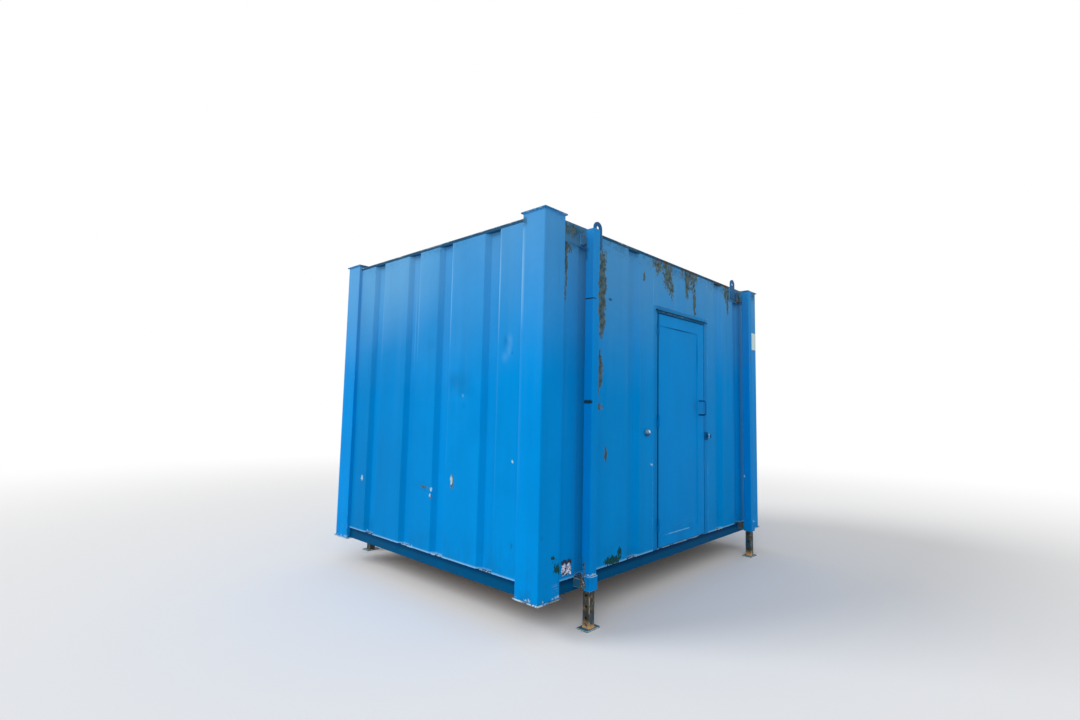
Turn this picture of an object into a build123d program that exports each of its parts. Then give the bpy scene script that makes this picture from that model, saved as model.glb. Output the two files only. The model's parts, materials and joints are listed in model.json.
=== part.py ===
from build123d import *
from math import atan2, degrees
import os

# Portable steel site cabin, nominally 12 ft by 9 ft, standing on four telescopic jack legs.
# Millimetres, +Z up. The origin is on the ground under the middle of the cabin, and the door
# wall faces -Y. Heights are measured above the underside of the lower stacking plates, insets
# in from the plates' outer edges, and places along a side to the right of its middle.

# Whole cabin, measured over the stacking plates
cabin_length = 3660
cabin_width = 2745
frame_height = 2670
ground_clearance = 225

# Corner posts and the stacking plates that cap them
plate_side = 240
plate_thickness = 10
post_inset = 12
post_face = 215
post_corner_radius = 10

# Pressed wall panels: trapezoid recesses outside, flat lining inside
wall_inset = 36
wall_thickness = 60
wall_foot = 105
wall_below_frame_top = 59
recess_width = 175
recess_slope = 40
recess_depth = 35
press_radius = 6
end_recess_offsets = (-800, -225, 225, 800)
front_left_recess_pitch = 651
front_right_recess_pitch = 444
front_recess_shift = -12
back_recess_count = 5
back_recess_pitch = 666

# Sill rails, joists and deck
sill_inset = 46
sill_flange = 75
sill_web = 6
joist_width = 50
joist_count = 7
joist_pitch = 440
deck_thickness = 20

# Roof rails, ceiling and cambered roof sheet
roof_rail_flange = 19
roof_rail_downstand_width = 35
ceiling_below_wall_top = 61
ceiling_thickness = 12
roof_sheet_thickness = 6
roof_overhang = 4
roof_camber = 16
roof_flat_margin = 260
roof_slope_run = 700

# Door leaf and its frame
leaf_offset = 132
leaf_width = 852
leaf_height = 2026
leaf_thickness = 45
leaf_edge_radius = 3
leaf_foot_gap = 8
leaf_head_gap = 8
leaf_lock_gap = 8
leaf_hinge_gap = 14
leaf_stop_gap = 5
pan_depth = 8
pan_slope = 45
pan_hinge_margin = 15
pan_lock_margin = 126
pan_foot_margin = 92
pan_head_margin = 105
jamb_width = 72
head_depth = 60
stop_width = 23
stop_joint_gap = 1
drip_overlap = 44
drip_projection = 20
drip_height = 24
drip_thickness = 4
drip_rise = 4

# Weld-on lift-off hinges
hinge_heights = (300, 1190, 2000)
hinge_barrel_radius = 8
hinge_barrel_length = 50
hinge_pin_radius = 4
hinge_pin_clearance = 0.1
hinge_seat_gap = 0.3
hinge_flap_width = 28
hinge_flap_thickness = 3
hinge_standoff = 1

# Pull handle, lock staple and door buffer
handle_edge_distance = 97
handle_foot = 1249
handle_length = 134
handle_reach = 70
handle_bar_radius = 7
handle_bend_cut = 14
staple_plate_width = 62
staple_plate_height = 80
staple_plate_thickness = 5
staple_plate_corner_radius = 6
staple_centre_height = 1042
staple_reach = 28
staple_thickness = 8
staple_height = 44
staple_hole_radius = 7
buffer_from_frame = 98
buffer_height = 1095
buffer_radius = 31
buffer_projection = 30
buffer_rim = 8
buffer_crown_radius = 15

# Jack tubes, telescopic legs and foot plates
jack_from_end = 450
jack_outset = 65
tube_side = 76
tube_wall = 5
tube_foot = 36
tube_below_frame_top = 75
tube_corner_radius = 7
collar_side = 90
collar_height = 97
collar_corner_radius = 9
guide_lip = 12
guide_clearance = 0.5
leg_side = 60
leg_wall = 5
leg_length = 1800
leg_corner_radius = 5
leg_hole_radius = 10
leg_hole_sides = 8
leg_hole_pitch = 76
leg_hole_count = 17
leg_first_hole = 65
foot_plate_length = 145
foot_plate_width = 100
foot_plate_thickness = 10
foot_plate_corner_radius = 8

# Head plates, brackets and lifting lugs
head_plate_thickness = 8
head_plate_height = 146
head_plate_inner = 690
bracket_width = 60
bracket_above_plate_foot = 8
bracket_height = 90
lower_bracket_foot = 40
lower_bracket_height = 60
lug_from_end = 620
lug_width = 100
lug_thickness = 12
lug_above_plate_foot = 30
lug_eye_above_roof_rail = 38
lug_eye_radius = 19

# Sizes that follow from the ones above
half_length = cabin_length / 2
half_width = cabin_width / 2
post_end = post_inset + post_face
sill_foot = plate_thickness
lining_inset = wall_inset + wall_thickness
deck_top = wall_foot + deck_thickness
wall_top = frame_height - wall_below_frame_top
roof_rail_top = wall_top + roof_rail_flange
roof_rail_back = lining_inset + roof_rail_downstand_width
leaf_foot = wall_foot + leaf_foot_gap
leaf_head = leaf_foot + leaf_height
leaf_left = leaf_offset - leaf_width / 2
leaf_right = leaf_offset + leaf_width / 2
opening_left = leaf_left - leaf_hinge_gap
opening_right = leaf_right + leaf_lock_gap
opening_head = leaf_head + leaf_head_gap
opening_width = opening_right - opening_left
opening_middle = (opening_left + opening_right) / 2
frame_left = opening_left - jamb_width
frame_right = opening_right + jamb_width
frame_head = opening_head + head_depth
stop_inset = wall_inset + leaf_thickness + leaf_stop_gap
hinge_offset = leaf_left - leaf_hinge_gap / 2
hinge_inset = wall_inset - hinge_standoff - hinge_barrel_radius
ceiling_height = wall_top - ceiling_below_wall_top
tube_top = frame_height - tube_below_frame_top
head_plate_inset = wall_inset - head_plate_thickness
head_plate_foot = roof_rail_top - head_plate_height
bracket_foot = head_plate_foot + bracket_above_plate_foot
lug_foot = head_plate_foot + lug_above_plate_foot
lug_eye_height = roof_rail_top + lug_eye_above_roof_rail

# Each side's outer edge, its rightward direction seen from outside, and its outward direction
side_edges = {
    "front": ((0, -half_width), (1, 0, 0), (0, -1, 0)),
    "back": ((0, half_width), (-1, 0, 0), (0, 1, 0)),
    "left": ((-half_length, 0), (0, -1, 0), (-1, 0, 0)),
    "right": ((half_length, 0), (0, 1, 0), (1, 0, 0)),
}
half_spans = {"front": half_length, "back": half_length, "left": half_width, "right": half_width}

# The long side that each corner lies on, and its end of that side seen from outside
corners = {
    "front_left": ("front", -1),
    "front_right": ("front", 1),
    "back_right": ("back", -1),
    "back_left": ("back", 1),
}


def level(height):
    """Height above the ground of a height above the lower stacking plates."""
    return ground_clearance + height


def floor_plan(side, height):
    """Level plane of one side: x to the right seen from outside, y into the cabin."""
    edge, rightward, outward = side_edges[side]
    return Plane(origin=(*edge, level(height)), x_dir=rightward, z_dir=(0, 0, 1))


def elevation(side, inset):
    """Upright plane of one side at an inset: x to the right, y up, its normal outward."""
    edge, rightward, outward = side_edges[side]
    face = Plane(origin=(*edge, level(0)), x_dir=rightward, z_dir=outward)
    return face.offset(-inset)


def cross_section(side, along):
    """Upright plane across one side: x into the cabin, y up, its normal to the right."""
    edge, rightward, outward = side_edges[side]
    inward = [-step for step in outward]
    across = Plane(origin=(*edge, level(0)), x_dir=inward, z_dir=rightward)
    return across.offset(along)


def save(piece, name):
    """Label a finished piece and write its file."""
    piece.part.label = name
    export_step(piece.part, "parts/" + name + ".step")


os.makedirs("parts", exist_ok=True)

# Corner posts: boxed L pressings with a rounded outer arris
for corner, (side, hand) in corners.items():
    outer = hand * (half_length - post_inset)
    inner = hand * (half_length - lining_inset)
    end = hand * (half_length - post_end)
    with BuildPart() as post:
        with BuildSketch(floor_plan(side, plate_thickness)) as section:
            with BuildLine():
                Polyline(
                    (outer, post_inset),
                    (end, post_inset),
                    (end, lining_inset),
                    (inner, lining_inset),
                    (inner, post_end),
                    (outer, post_end),
                    close=True,
                )
            make_face()
            arris = section.vertices().sort_by_distance((outer, post_inset))[0]
            fillet(arris, radius=post_corner_radius)
        extrude(amount=frame_height - 2 * plate_thickness)
    save(post, "corner_post_" + corner)

# Stacking plates: one square plate on each end of every post
plate_grid = (cabin_length - plate_side, cabin_width - plate_side)
for name, height in (("lower", 0), ("upper", frame_height - plate_thickness)):
    with BuildPart() as plates:
        with BuildSketch(Plane.XY.offset(level(height))):
            with GridLocations(*plate_grid, 2, 2):
                Rectangle(plate_side, plate_side)
        extrude(amount=plate_thickness)
    save(plates, "stacking_plates_" + name)


def wall_panel(side, left, right, foot, top, recesses):
    """Pressed panel between two places along a side, recessed outside and flat inside."""
    outline = [(left, wall_inset)]
    for centre in recesses:
        fold = centre - recess_width / 2
        outline.append((fold, wall_inset))
        outline.append((fold + recess_slope, wall_inset + recess_depth))
        outline.append((fold + recess_width - recess_slope, wall_inset + recess_depth))
        outline.append((fold + recess_width, wall_inset))
    outline += [(right, wall_inset), (right, lining_inset), (left, lining_inset)]
    with BuildPart() as panel:
        with BuildSketch(floor_plan(side, foot)) as section:
            with BuildLine():
                Polyline(*outline, close=True)
            make_face()
            if recesses:
                between = (left + press_radius, right - press_radius)
                folds = section.vertices().filter_by_position(Axis.X, *between)
                fillet(folds, radius=press_radius)
        extrude(amount=top - foot)
    return panel


# End walls
end_run = half_width - post_end
for side in ("left", "right"):
    panel = wall_panel(side, -end_run, end_run, wall_foot, wall_top, end_recess_offsets)
    save(panel, side + "_wall")

# Back wall, with no door
long_run = half_length - post_end
middle = (back_recess_count - 1) / 2
back_recesses = [(place - middle) * back_recess_pitch for place in range(back_recess_count)]
panel = wall_panel("back", -long_run, long_run, wall_foot, wall_top, back_recesses)
save(panel, "back_wall")

# Door wall: one panel on each side of the door frame, and a plain one over it
for name, left, right, pitch in (
    ("left", -long_run, frame_left, front_left_recess_pitch),
    ("right", frame_right, long_run, front_right_recess_pitch),
):
    pair_middle = (left + right) / 2 + front_recess_shift
    pair = (pair_middle - pitch / 2, pair_middle + pitch / 2)
    panel = wall_panel("front", left, right, wall_foot, wall_top, pair)
    save(panel, "front_wall_" + name)
panel = wall_panel("front", frame_left, frame_right, frame_head, wall_top, ())
save(panel, "front_wall_over_door")

# Sill rails: four channels between the posts, open towards the joists
with BuildPart() as sill_rails:
    for side, half_span in half_spans.items():
        run = half_span - post_end
        sill_height = wall_foot - sill_foot
        with BuildSketch(cross_section(side, -run)):
            with Locations((sill_inset + sill_flange / 2, sill_foot + sill_height / 2)):
                Rectangle(sill_flange, sill_height)
            with Locations((sill_inset + (sill_flange + sill_web) / 2, sill_foot + sill_height / 2)):
                Rectangle(sill_flange - sill_web, sill_height - 2 * sill_web, mode=Mode.SUBTRACT)
        extrude(amount=2 * run)
save(sill_rails, "sill_rails")

# Joists between the long sill rails, and the deck on top of them
joist_length = cabin_width - 2 * (sill_inset + sill_flange)
with BuildPart() as joists:
    with BuildSketch(Plane.XY.offset(level(sill_foot))):
        with GridLocations(joist_pitch, 1, joist_count, 1):
            Rectangle(joist_width, joist_length)
    extrude(amount=wall_foot - sill_foot)
save(joists, "floor_joists")

with BuildPart() as deck:
    with BuildSketch(Plane.XY.offset(level(wall_foot))):
        Rectangle(cabin_length - 2 * lining_inset, cabin_width - 2 * lining_inset)
    extrude(amount=deck_thickness)
save(deck, "floor_deck")

# Roof rails: a flange over the wall head and a downstand behind the lining
for side, half_span in half_spans.items():
    run = half_span - post_end
    mitre_inset = lining_inset if half_span == half_length else roof_rail_back
    downstand_run = half_span - mitre_inset
    downstand_middle = lining_inset + roof_rail_downstand_width / 2
    with BuildPart() as rail:
        with BuildSketch(cross_section(side, -run)):
            with Locations(((wall_inset + roof_rail_back) / 2, wall_top + roof_rail_flange / 2)):
                Rectangle(roof_rail_back - wall_inset, roof_rail_flange)
        extrude(amount=2 * run)
        with BuildSketch(cross_section(side, -downstand_run)):
            with Locations((downstand_middle, (ceiling_height + roof_rail_top) / 2)):
                Rectangle(roof_rail_downstand_width, roof_rail_top - ceiling_height)
        extrude(amount=2 * downstand_run)
    save(rail, "roof_rail_" + side)

with BuildPart() as ceiling:
    with BuildSketch(Plane.XY.offset(level(ceiling_height))):
        Rectangle(cabin_length - 2 * roof_rail_back, cabin_width - 2 * roof_rail_back)
    extrude(amount=ceiling_thickness)
save(ceiling, "ceiling_panel")

# Roof sheet: notched round the posts, with a shallow crown that sheds water
roof_inset = wall_inset - roof_overhang
notch_grid = (cabin_length - post_end, cabin_width - post_end)
with BuildPart() as roof:
    with BuildSketch(Plane.XY.offset(level(roof_rail_top))):
        Rectangle(cabin_length - 2 * roof_inset, cabin_width - 2 * roof_inset)
        with GridLocations(*notch_grid, 2, 2):
            Rectangle(post_end, post_end, mode=Mode.SUBTRACT)
        Rectangle(cabin_length - 2 * lining_inset, cabin_width - 2 * lining_inset)
    extrude(amount=roof_sheet_thickness)
    with BuildSketch(Plane.XY.offset(level(roof_rail_top + roof_sheet_thickness))):
        Rectangle(cabin_length - 2 * roof_flat_margin, cabin_width - 2 * roof_flat_margin)
    extrude(amount=roof_camber, taper=degrees(atan2(roof_slope_run, roof_camber)))
save(roof, "roof_sheet")

# Door frame: two jambs and a head as deep as the wall
for name, left in (("left", frame_left), ("right", opening_right)):
    with BuildPart() as jamb:
        with BuildSketch(elevation("front", wall_inset)):
            with Locations((left + jamb_width / 2, (wall_foot + frame_head) / 2)):
                Rectangle(jamb_width, frame_head - wall_foot)
        extrude(amount=-wall_thickness)
    save(jamb, "door_jamb_" + name)

with BuildPart() as head:
    with BuildSketch(elevation("front", wall_inset)):
        with Locations((opening_middle, opening_head + head_depth / 2)):
            Rectangle(opening_width, head_depth)
    extrude(amount=-wall_thickness)
save(head, "door_head")

# Stops that the closed leaf shuts towards, on both jambs and under the head
stop_depth = lining_inset - stop_inset
side_stop_height = opening_head - deck_top
head_stop_width = opening_width - 2 * (stop_width + stop_joint_gap)
stop_grid = opening_width - stop_width
with BuildPart() as stops:
    with BuildSketch(elevation("front", stop_inset)):
        with Locations((opening_middle, deck_top + side_stop_height / 2)):
            with GridLocations(stop_grid, 1, 2, 1):
                Rectangle(stop_width, side_stop_height)
        with Locations((opening_middle, opening_head - stop_width / 2)):
            Rectangle(head_stop_width, stop_width)
    extrude(amount=-stop_depth)
save(stops, "door_stops")

with BuildPart() as threshold:
    with BuildSketch(elevation("front", stop_inset)):
        with Locations((opening_middle, wall_foot + deck_thickness / 2)):
            Rectangle(opening_width, deck_thickness)
    extrude(amount=-stop_depth)
save(threshold, "door_threshold")

# Drip strip over the door: an angle with its lip turned down
drip_length = leaf_width + 2 * drip_overlap
drip_foot = opening_head + drip_rise
with BuildPart() as drip:
    with BuildSketch(cross_section("front", leaf_offset - drip_length / 2)):
        with BuildLine():
            Polyline(
                (wall_inset, drip_foot + drip_height),
                (wall_inset - drip_projection, drip_foot + drip_height / 2),
                (wall_inset - drip_projection, drip_foot),
                (wall_inset - drip_projection + drip_thickness, drip_foot),
                (wall_inset - drip_projection + drip_thickness, drip_foot + drip_height / 3),
                (wall_inset, drip_foot + drip_height - drip_thickness),
                close=True,
            )
        make_face()
    extrude(amount=drip_length)
save(drip, "drip_strip")

# Door leaf: a flat leaf with a shallow pressed pan in its outer face
pan_width = leaf_width - pan_hinge_margin - pan_lock_margin
pan_height = leaf_height - pan_foot_margin - pan_head_margin
pan_middle = leaf_left + pan_hinge_margin + pan_width / 2
with BuildPart() as leaf:
    with BuildSketch(elevation("front", wall_inset)):
        with Locations((leaf_offset, leaf_foot + leaf_height / 2)):
            Rectangle(leaf_width, leaf_height)
    extrude(amount=-leaf_thickness)
    arrises = leaf.faces().sort_by(Axis.Y)[0].outer_wire().edges()
    fillet(arrises, radius=leaf_edge_radius)
    with BuildSketch(elevation("front", wall_inset)):
        with Locations((pan_middle, leaf_foot + pan_foot_margin + pan_height / 2)):
            Rectangle(pan_width, pan_height)
    extrude(amount=-pan_depth, taper=pan_slope, mode=Mode.SUBTRACT)
save(leaf, "door_leaf")

# Hinges: a fixed lower barrel with a pin, and an upper barrel on the leaf that drops over it
barrel_rise = hinge_barrel_length + hinge_seat_gap
flap_inset = wall_inset - hinge_flap_thickness
with BuildPart() as fixed_hinges:
    for height in hinge_heights:
        with BuildSketch(floor_plan("front", height - hinge_barrel_length)):
            with Locations((hinge_offset, hinge_inset)):
                Circle(hinge_barrel_radius)
            with Locations((hinge_offset - hinge_flap_width / 2, (flap_inset + wall_inset) / 2)):
                Rectangle(hinge_flap_width, hinge_flap_thickness)
        extrude(amount=hinge_barrel_length)
        with BuildSketch(floor_plan("front", height)):
            with Locations((hinge_offset, hinge_inset)):
                Circle(hinge_pin_radius)
        extrude(amount=barrel_rise)
save(fixed_hinges, "hinge_barrels_fixed")

with BuildPart() as leaf_hinges:
    for height in hinge_heights:
        with BuildSketch(floor_plan("front", height + hinge_seat_gap)):
            with Locations((hinge_offset, hinge_inset)):
                Circle(hinge_barrel_radius)
            with Locations((hinge_offset + hinge_flap_width / 2, (flap_inset + wall_inset) / 2)):
                Rectangle(hinge_flap_width, hinge_flap_thickness)
            with Locations((hinge_offset, hinge_inset)):
                Circle(hinge_pin_radius + hinge_pin_clearance, mode=Mode.SUBTRACT)
        extrude(amount=hinge_barrel_length)
save(leaf_hinges, "hinge_barrels_leaf")

# Pull handle: a bent round bar near the lock edge of the leaf
handle_offset = leaf_right - handle_edge_distance
leaf_face = wall_inset - half_width
handle_front = leaf_face - handle_reach
handle_low = level(handle_foot)
handle_high = level(handle_foot + handle_length)
with BuildPart() as handle:
    with BuildLine(Plane.YZ.offset(handle_offset)) as bend:
        Polyline(
            (leaf_face, handle_low),
            (handle_front + handle_bend_cut, handle_low),
            (handle_front, handle_low + handle_bend_cut),
            (handle_front, handle_high - handle_bend_cut),
            (handle_front + handle_bend_cut, handle_high),
            (leaf_face, handle_high),
        )
    with BuildSketch(Plane(origin=bend.line @ 0, z_dir=bend.line % 0)):
        Circle(handle_bar_radius)
    sweep(transition=Transition.RIGHT)
save(handle, "door_handle")

# Lock staple: a plate on the right jamb with an upright eye
staple_offset = opening_right + jamb_width / 2
staple_inset = wall_inset - staple_plate_thickness
with BuildPart() as staple:
    with BuildSketch(elevation("front", wall_inset)):
        with Locations((staple_offset, staple_centre_height)):
            RectangleRounded(staple_plate_width, staple_plate_height, staple_plate_corner_radius)
    extrude(amount=staple_plate_thickness)
    with BuildSketch(cross_section("front", staple_offset - staple_thickness / 2)):
        with Locations((staple_inset - staple_reach / 2, staple_centre_height)):
            Rectangle(staple_reach, staple_height)
        with Locations((staple_inset - staple_reach, staple_centre_height)):
            Circle(staple_height / 2)
            Circle(staple_hole_radius, mode=Mode.SUBTRACT)
    extrude(amount=staple_thickness)
save(staple, "lock_staple")

# Door buffer: a crowned stud on the wall beside the hinges
buffer_offset = frame_left - buffer_from_frame
with BuildPart() as buffer:
    with BuildSketch(cross_section("front", buffer_offset)):
        with BuildLine():
            Polyline(
                (wall_inset, buffer_height),
                (wall_inset, buffer_height + buffer_radius),
                (wall_inset - buffer_rim, buffer_height + buffer_radius),
                (wall_inset - buffer_projection, buffer_height + buffer_crown_radius),
                (wall_inset - buffer_projection, buffer_height),
                close=True,
            )
        make_face()
    revolve(axis=Axis((buffer_offset, 0, level(buffer_height)), (0, 1, 0)))
save(buffer, "door_buffer")

# Jack tubes: closed at the top, with a collar that guides the leg
jack_grid = (cabin_length - 2 * jack_from_end, cabin_width + 2 * jack_outset)
tube_bore = tube_side - 2 * tube_wall
guide_bore = leg_side + 2 * guide_clearance
with BuildPart() as tubes:
    with BuildSketch(Plane.XY.offset(level(tube_foot))):
        with GridLocations(*jack_grid, 2, 2):
            RectangleRounded(tube_side, tube_side, tube_corner_radius)
    extrude(amount=tube_top - tube_foot)
    with BuildSketch(Plane.XY.offset(level(tube_foot))):
        with GridLocations(*jack_grid, 2, 2):
            RectangleRounded(collar_side, collar_side, collar_corner_radius)
    extrude(amount=collar_height)
    with BuildSketch(Plane.XY.offset(level(tube_foot + guide_lip))):
        with GridLocations(*jack_grid, 2, 2):
            Rectangle(tube_bore, tube_bore)
    extrude(amount=tube_top - tube_wall - tube_foot - guide_lip, mode=Mode.SUBTRACT)
    with BuildSketch(Plane.XY.offset(level(tube_foot))):
        with GridLocations(*jack_grid, 2, 2):
            Rectangle(guide_bore, guide_bore)
    extrude(amount=guide_lip, mode=Mode.SUBTRACT)
save(tubes, "jack_tubes")

# Telescopic legs with their pin holes, and the foot plates welded under them
for corner, (side, hand) in corners.items():
    leg_place = (hand * (half_length - jack_from_end), -jack_outset)
    ground = floor_plan(side, -ground_clearance)
    hole_rise = foot_plate_thickness + leg_first_hole - ground_clearance
    with BuildPart() as leg:
        with BuildSketch(ground.offset(foot_plate_thickness)):
            with Locations(leg_place):
                RectangleRounded(leg_side, leg_side, leg_corner_radius)
                Rectangle(leg_side - 2 * leg_wall, leg_side - 2 * leg_wall, mode=Mode.SUBTRACT)
        extrude(amount=leg_length)
        with BuildSketch(cross_section(side, leg_place[0])):
            for hole in range(leg_hole_count):
                with Locations((-jack_outset, hole_rise + hole * leg_hole_pitch)):
                    RegularPolygon(leg_hole_radius, leg_hole_sides)
        extrude(amount=leg_side, both=True, mode=Mode.SUBTRACT)
    save(leg, "leg_" + corner)
    with BuildPart() as foot_plate:
        with BuildSketch(ground):
            with Locations(leg_place):
                RectangleRounded(foot_plate_length, foot_plate_width, foot_plate_corner_radius)
        extrude(amount=foot_plate_thickness)
    save(foot_plate, "foot_plate_" + corner)

# Head plates on the wall and roof rail, each with a spacer that carries the jack tube
tube_back = tube_side / 2 - jack_outset
collar_back = collar_side / 2 - jack_outset
with BuildPart() as upper_brackets:
    for side, hand in corners.values():
        plate_middle = hand * (half_length - (post_end + head_plate_inner) / 2)
        with BuildSketch(elevation(side, wall_inset)):
            with Locations((plate_middle, (head_plate_foot + roof_rail_top) / 2)):
                Rectangle(head_plate_inner - post_end, roof_rail_top - head_plate_foot)
        extrude(amount=head_plate_thickness)
        with BuildSketch(elevation(side, head_plate_inset)):
            with Locations((hand * (half_length - jack_from_end), bracket_foot + bracket_height / 2)):
                Rectangle(bracket_width, bracket_height)
        extrude(amount=head_plate_inset - tube_back)
save(upper_brackets, "jack_brackets_upper")

with BuildPart() as lower_brackets:
    for side, hand in corners.values():
        bracket_middle = lower_bracket_foot + lower_bracket_height / 2
        with BuildSketch(elevation(side, sill_inset)):
            with Locations((hand * (half_length - jack_from_end), bracket_middle)):
                Rectangle(tube_side, lower_bracket_height)
        extrude(amount=sill_inset - collar_back)
save(lower_brackets, "jack_brackets_lower")

# Lifting lugs: flat plates with a round head and one eye, welded to the head plates
with BuildPart() as lugs:
    for side, hand in corners.values():
        lug_x = hand * (half_length - lug_from_end)
        with BuildSketch(elevation(side, head_plate_inset)):
            with Locations((lug_x, (lug_foot + lug_eye_height) / 2)):
                Rectangle(lug_width, lug_eye_height - lug_foot)
            with Locations((lug_x, lug_eye_height)):
                Circle(lug_width / 2)
                Circle(lug_eye_radius, mode=Mode.SUBTRACT)
        extrude(amount=lug_thickness)
save(lugs, "lifting_lugs")
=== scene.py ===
"""Looks of a portable site cabin: worn blue paint on pressed steel, standing on rusty jack legs.

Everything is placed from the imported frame, in metres, with +Z up and the door wall facing -Y.
"""

import json
import logging
import math
from dataclasses import dataclass, field
from enum import Enum
from typing import ClassVar, Optional, Sequence, Union

import bmesh
import bpy
import numpy as np
from mathutils import Matrix, Vector, noise

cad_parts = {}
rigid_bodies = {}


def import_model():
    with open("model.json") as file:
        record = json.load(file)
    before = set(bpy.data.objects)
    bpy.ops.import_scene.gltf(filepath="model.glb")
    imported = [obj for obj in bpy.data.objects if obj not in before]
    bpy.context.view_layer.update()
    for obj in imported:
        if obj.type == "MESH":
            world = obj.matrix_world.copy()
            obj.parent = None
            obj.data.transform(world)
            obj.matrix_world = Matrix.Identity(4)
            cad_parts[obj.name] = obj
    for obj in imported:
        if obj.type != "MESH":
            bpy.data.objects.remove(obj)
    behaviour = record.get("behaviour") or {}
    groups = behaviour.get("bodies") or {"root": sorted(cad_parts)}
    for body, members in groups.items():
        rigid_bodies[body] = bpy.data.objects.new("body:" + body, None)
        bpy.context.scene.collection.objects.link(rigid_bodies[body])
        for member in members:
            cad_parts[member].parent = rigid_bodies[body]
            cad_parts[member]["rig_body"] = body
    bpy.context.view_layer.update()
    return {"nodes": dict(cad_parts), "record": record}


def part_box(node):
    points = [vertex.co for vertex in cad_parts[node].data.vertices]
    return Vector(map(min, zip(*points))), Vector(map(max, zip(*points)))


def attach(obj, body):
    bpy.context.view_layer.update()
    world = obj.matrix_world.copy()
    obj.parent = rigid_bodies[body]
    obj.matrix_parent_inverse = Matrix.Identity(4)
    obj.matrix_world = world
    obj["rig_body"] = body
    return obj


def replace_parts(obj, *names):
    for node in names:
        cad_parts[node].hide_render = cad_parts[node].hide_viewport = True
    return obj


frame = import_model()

CORNERS = ("front_left", "front_right", "back_right", "back_left")

Colour = tuple[float, float, float, float]
Point = tuple[float, float, float]
Socket = bpy.types.NodeSocket
Sockets = bpy.types.bpy_prop_collection
Fed = Union[Socket, float, Colour, Point]

log = logging.getLogger("site_cabin")


def shade(red: int, green: int, blue: int) -> Colour:
    """Turn a colour written as 0 to 255 steps into Blender's linear values.

    Args:
        red: Red step.
        green: Green step.
        blue: Blue step.

    Returns:
        The linear colour with full alpha.
    """
    linear = []
    for step in (red, green, blue):
        part = step / 255
        linear.append(part / 12.92 if part <= 0.04045 else ((part + 0.055) / 1.055) ** 2.4)
    return (*linear, 1.0)


# --------------------------------------------------------------------------- shader wiring


class Mark(Enum):
    """What a patch of wear, or of painted shade or painted highlight, is. Its value names the mesh
    attribute that carries it.
    """

    PEEL = "peel"
    RUST = "rust"
    ALGAE = "algae"
    SCUFF = "scuff"
    GRIME = "grime"
    BARE = "bare"
    # Painted shade: darkens gaps, recesses, undersides and places beside parts where shade falls.
    DAMP = "damp"
    # Painted highlight: lightens folds, arrises and dents where light catches them, and pales upper
    # walls as a painted sky reflection.
    POLISH = "polish"


class Wiring:
    """Adds and links the nodes of one node tree."""

    def __init__(self, tree: bpy.types.NodeTree) -> None:
        """Keep the tree that the nodes go into."""
        self.tree = tree

    def feed(self, socket: Socket, value: Fed) -> None:
        """Link a socket to another one, or set its plain value.

        Args:
            socket: The input that is fed.
            value: What feeds it.
        """
        if isinstance(value, bpy.types.NodeSocket):
            self.tree.links.new(value, socket)
        else:
            socket.default_value = value

    def node(self, kind: str, inputs: Optional[dict] = None, **settings: object) -> bpy.types.Node:
        """Add a node.

        Args:
            kind: Blender's name of the node type.
            inputs: What feeds its inputs, by name or index.
            settings: Its own settings.

        Returns:
            The new node.
        """
        made = self.tree.nodes.new(kind)
        for key, value in settings.items():
            setattr(made, key, value)
        for key, value in (inputs or {}).items():
            self.feed(made.inputs[key], value)
        return made

    def math(self, operation: str, *values: Fed) -> Socket:
        """Return the result of a Math node."""
        made = self.node("ShaderNodeMath", dict(enumerate(values)), operation=operation)
        return made.outputs[0]

    def plus(self, first: Fed, second: Fed) -> Socket:
        """Return first plus second."""
        return self.math("ADD", first, second)

    def less(self, first: Fed, second: Fed) -> Socket:
        """Return first less second."""
        return self.math("SUBTRACT", first, second)

    def times(self, first: Fed, second: Fed) -> Socket:
        """Return first times second."""
        return self.math("MULTIPLY", first, second)

    def larger(self, first: Fed, second: Fed) -> Socket:
        """Return the larger of two values."""
        return self.math("MAXIMUM", first, second)

    def smaller(self, first: Fed, second: Fed) -> Socket:
        """Return the smaller of two values."""
        return self.math("MINIMUM", first, second)

    def vector(self, operation: str, *values: Fed) -> Socket:
        """Return the vector result of a Vector Math node."""
        made = self.node("ShaderNodeVectorMath", dict(enumerate(values)), operation=operation)
        return made.outputs[0]

    def blend(self, factor: Fed, first: Fed, second: Fed) -> Socket:
        """Return the colour that goes from first to second as factor goes from 0 to 1."""
        made = self.node("ShaderNodeMix", {0: factor, 6: first, 7: second}, data_type="RGBA")
        return made.outputs[2]

    def step(self, value: Fed, start: Fed, end: Fed) -> Socket:
        """Ramp smoothly from 0 to 1.

        Args:
            value: What the ramp reads.
            start: The value that gives 0.
            end: The value that gives 1.

        Returns:
            The ramp's result.
        """
        inputs = {"Value": value, "From Min": start, "From Max": end}
        made = self.node("ShaderNodeMapRange", inputs, interpolation_type="SMOOTHSTEP")
        return made.outputs[0]

    def mottle(
        self, place: Socket, scale: float, detail: float = 4.0, stretch: Optional[Point] = None
    ) -> Socket:
        """Return noise from 0 to 1.

        Args:
            place: The coordinates that it is read at.
            scale: Features per metre.
            detail: Octaves of finer noise.
            stretch: How much faster it changes along X, Y and Z.

        Returns:
            The noise value's socket.
        """
        if stretch is not None:
            place = self.vector("MULTIPLY", place, stretch)
        inputs = {"Vector": place, "Scale": scale, "Detail": detail, "Roughness": 0.58}
        return self.node("ShaderNodeTexNoise", inputs).outputs[0]

    def place(self) -> Socket:
        """Return the object coordinates, which stay with a piece when it moves."""
        return self.node("ShaderNodeTexCoord").outputs["Object"]

    def axis(self, vector: Socket, index: int) -> Socket:
        """Return the X, Y or Z value (0, 1 or 2) of a vector."""
        return self.node("ShaderNodeSeparateXYZ", {0: vector}).outputs[index]

    def painted(self, name: str) -> Socket:
        """Return a value that the mesh carries at its points."""
        return self.node("ShaderNodeAttribute", attribute_name=name).outputs["Fac"]


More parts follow.
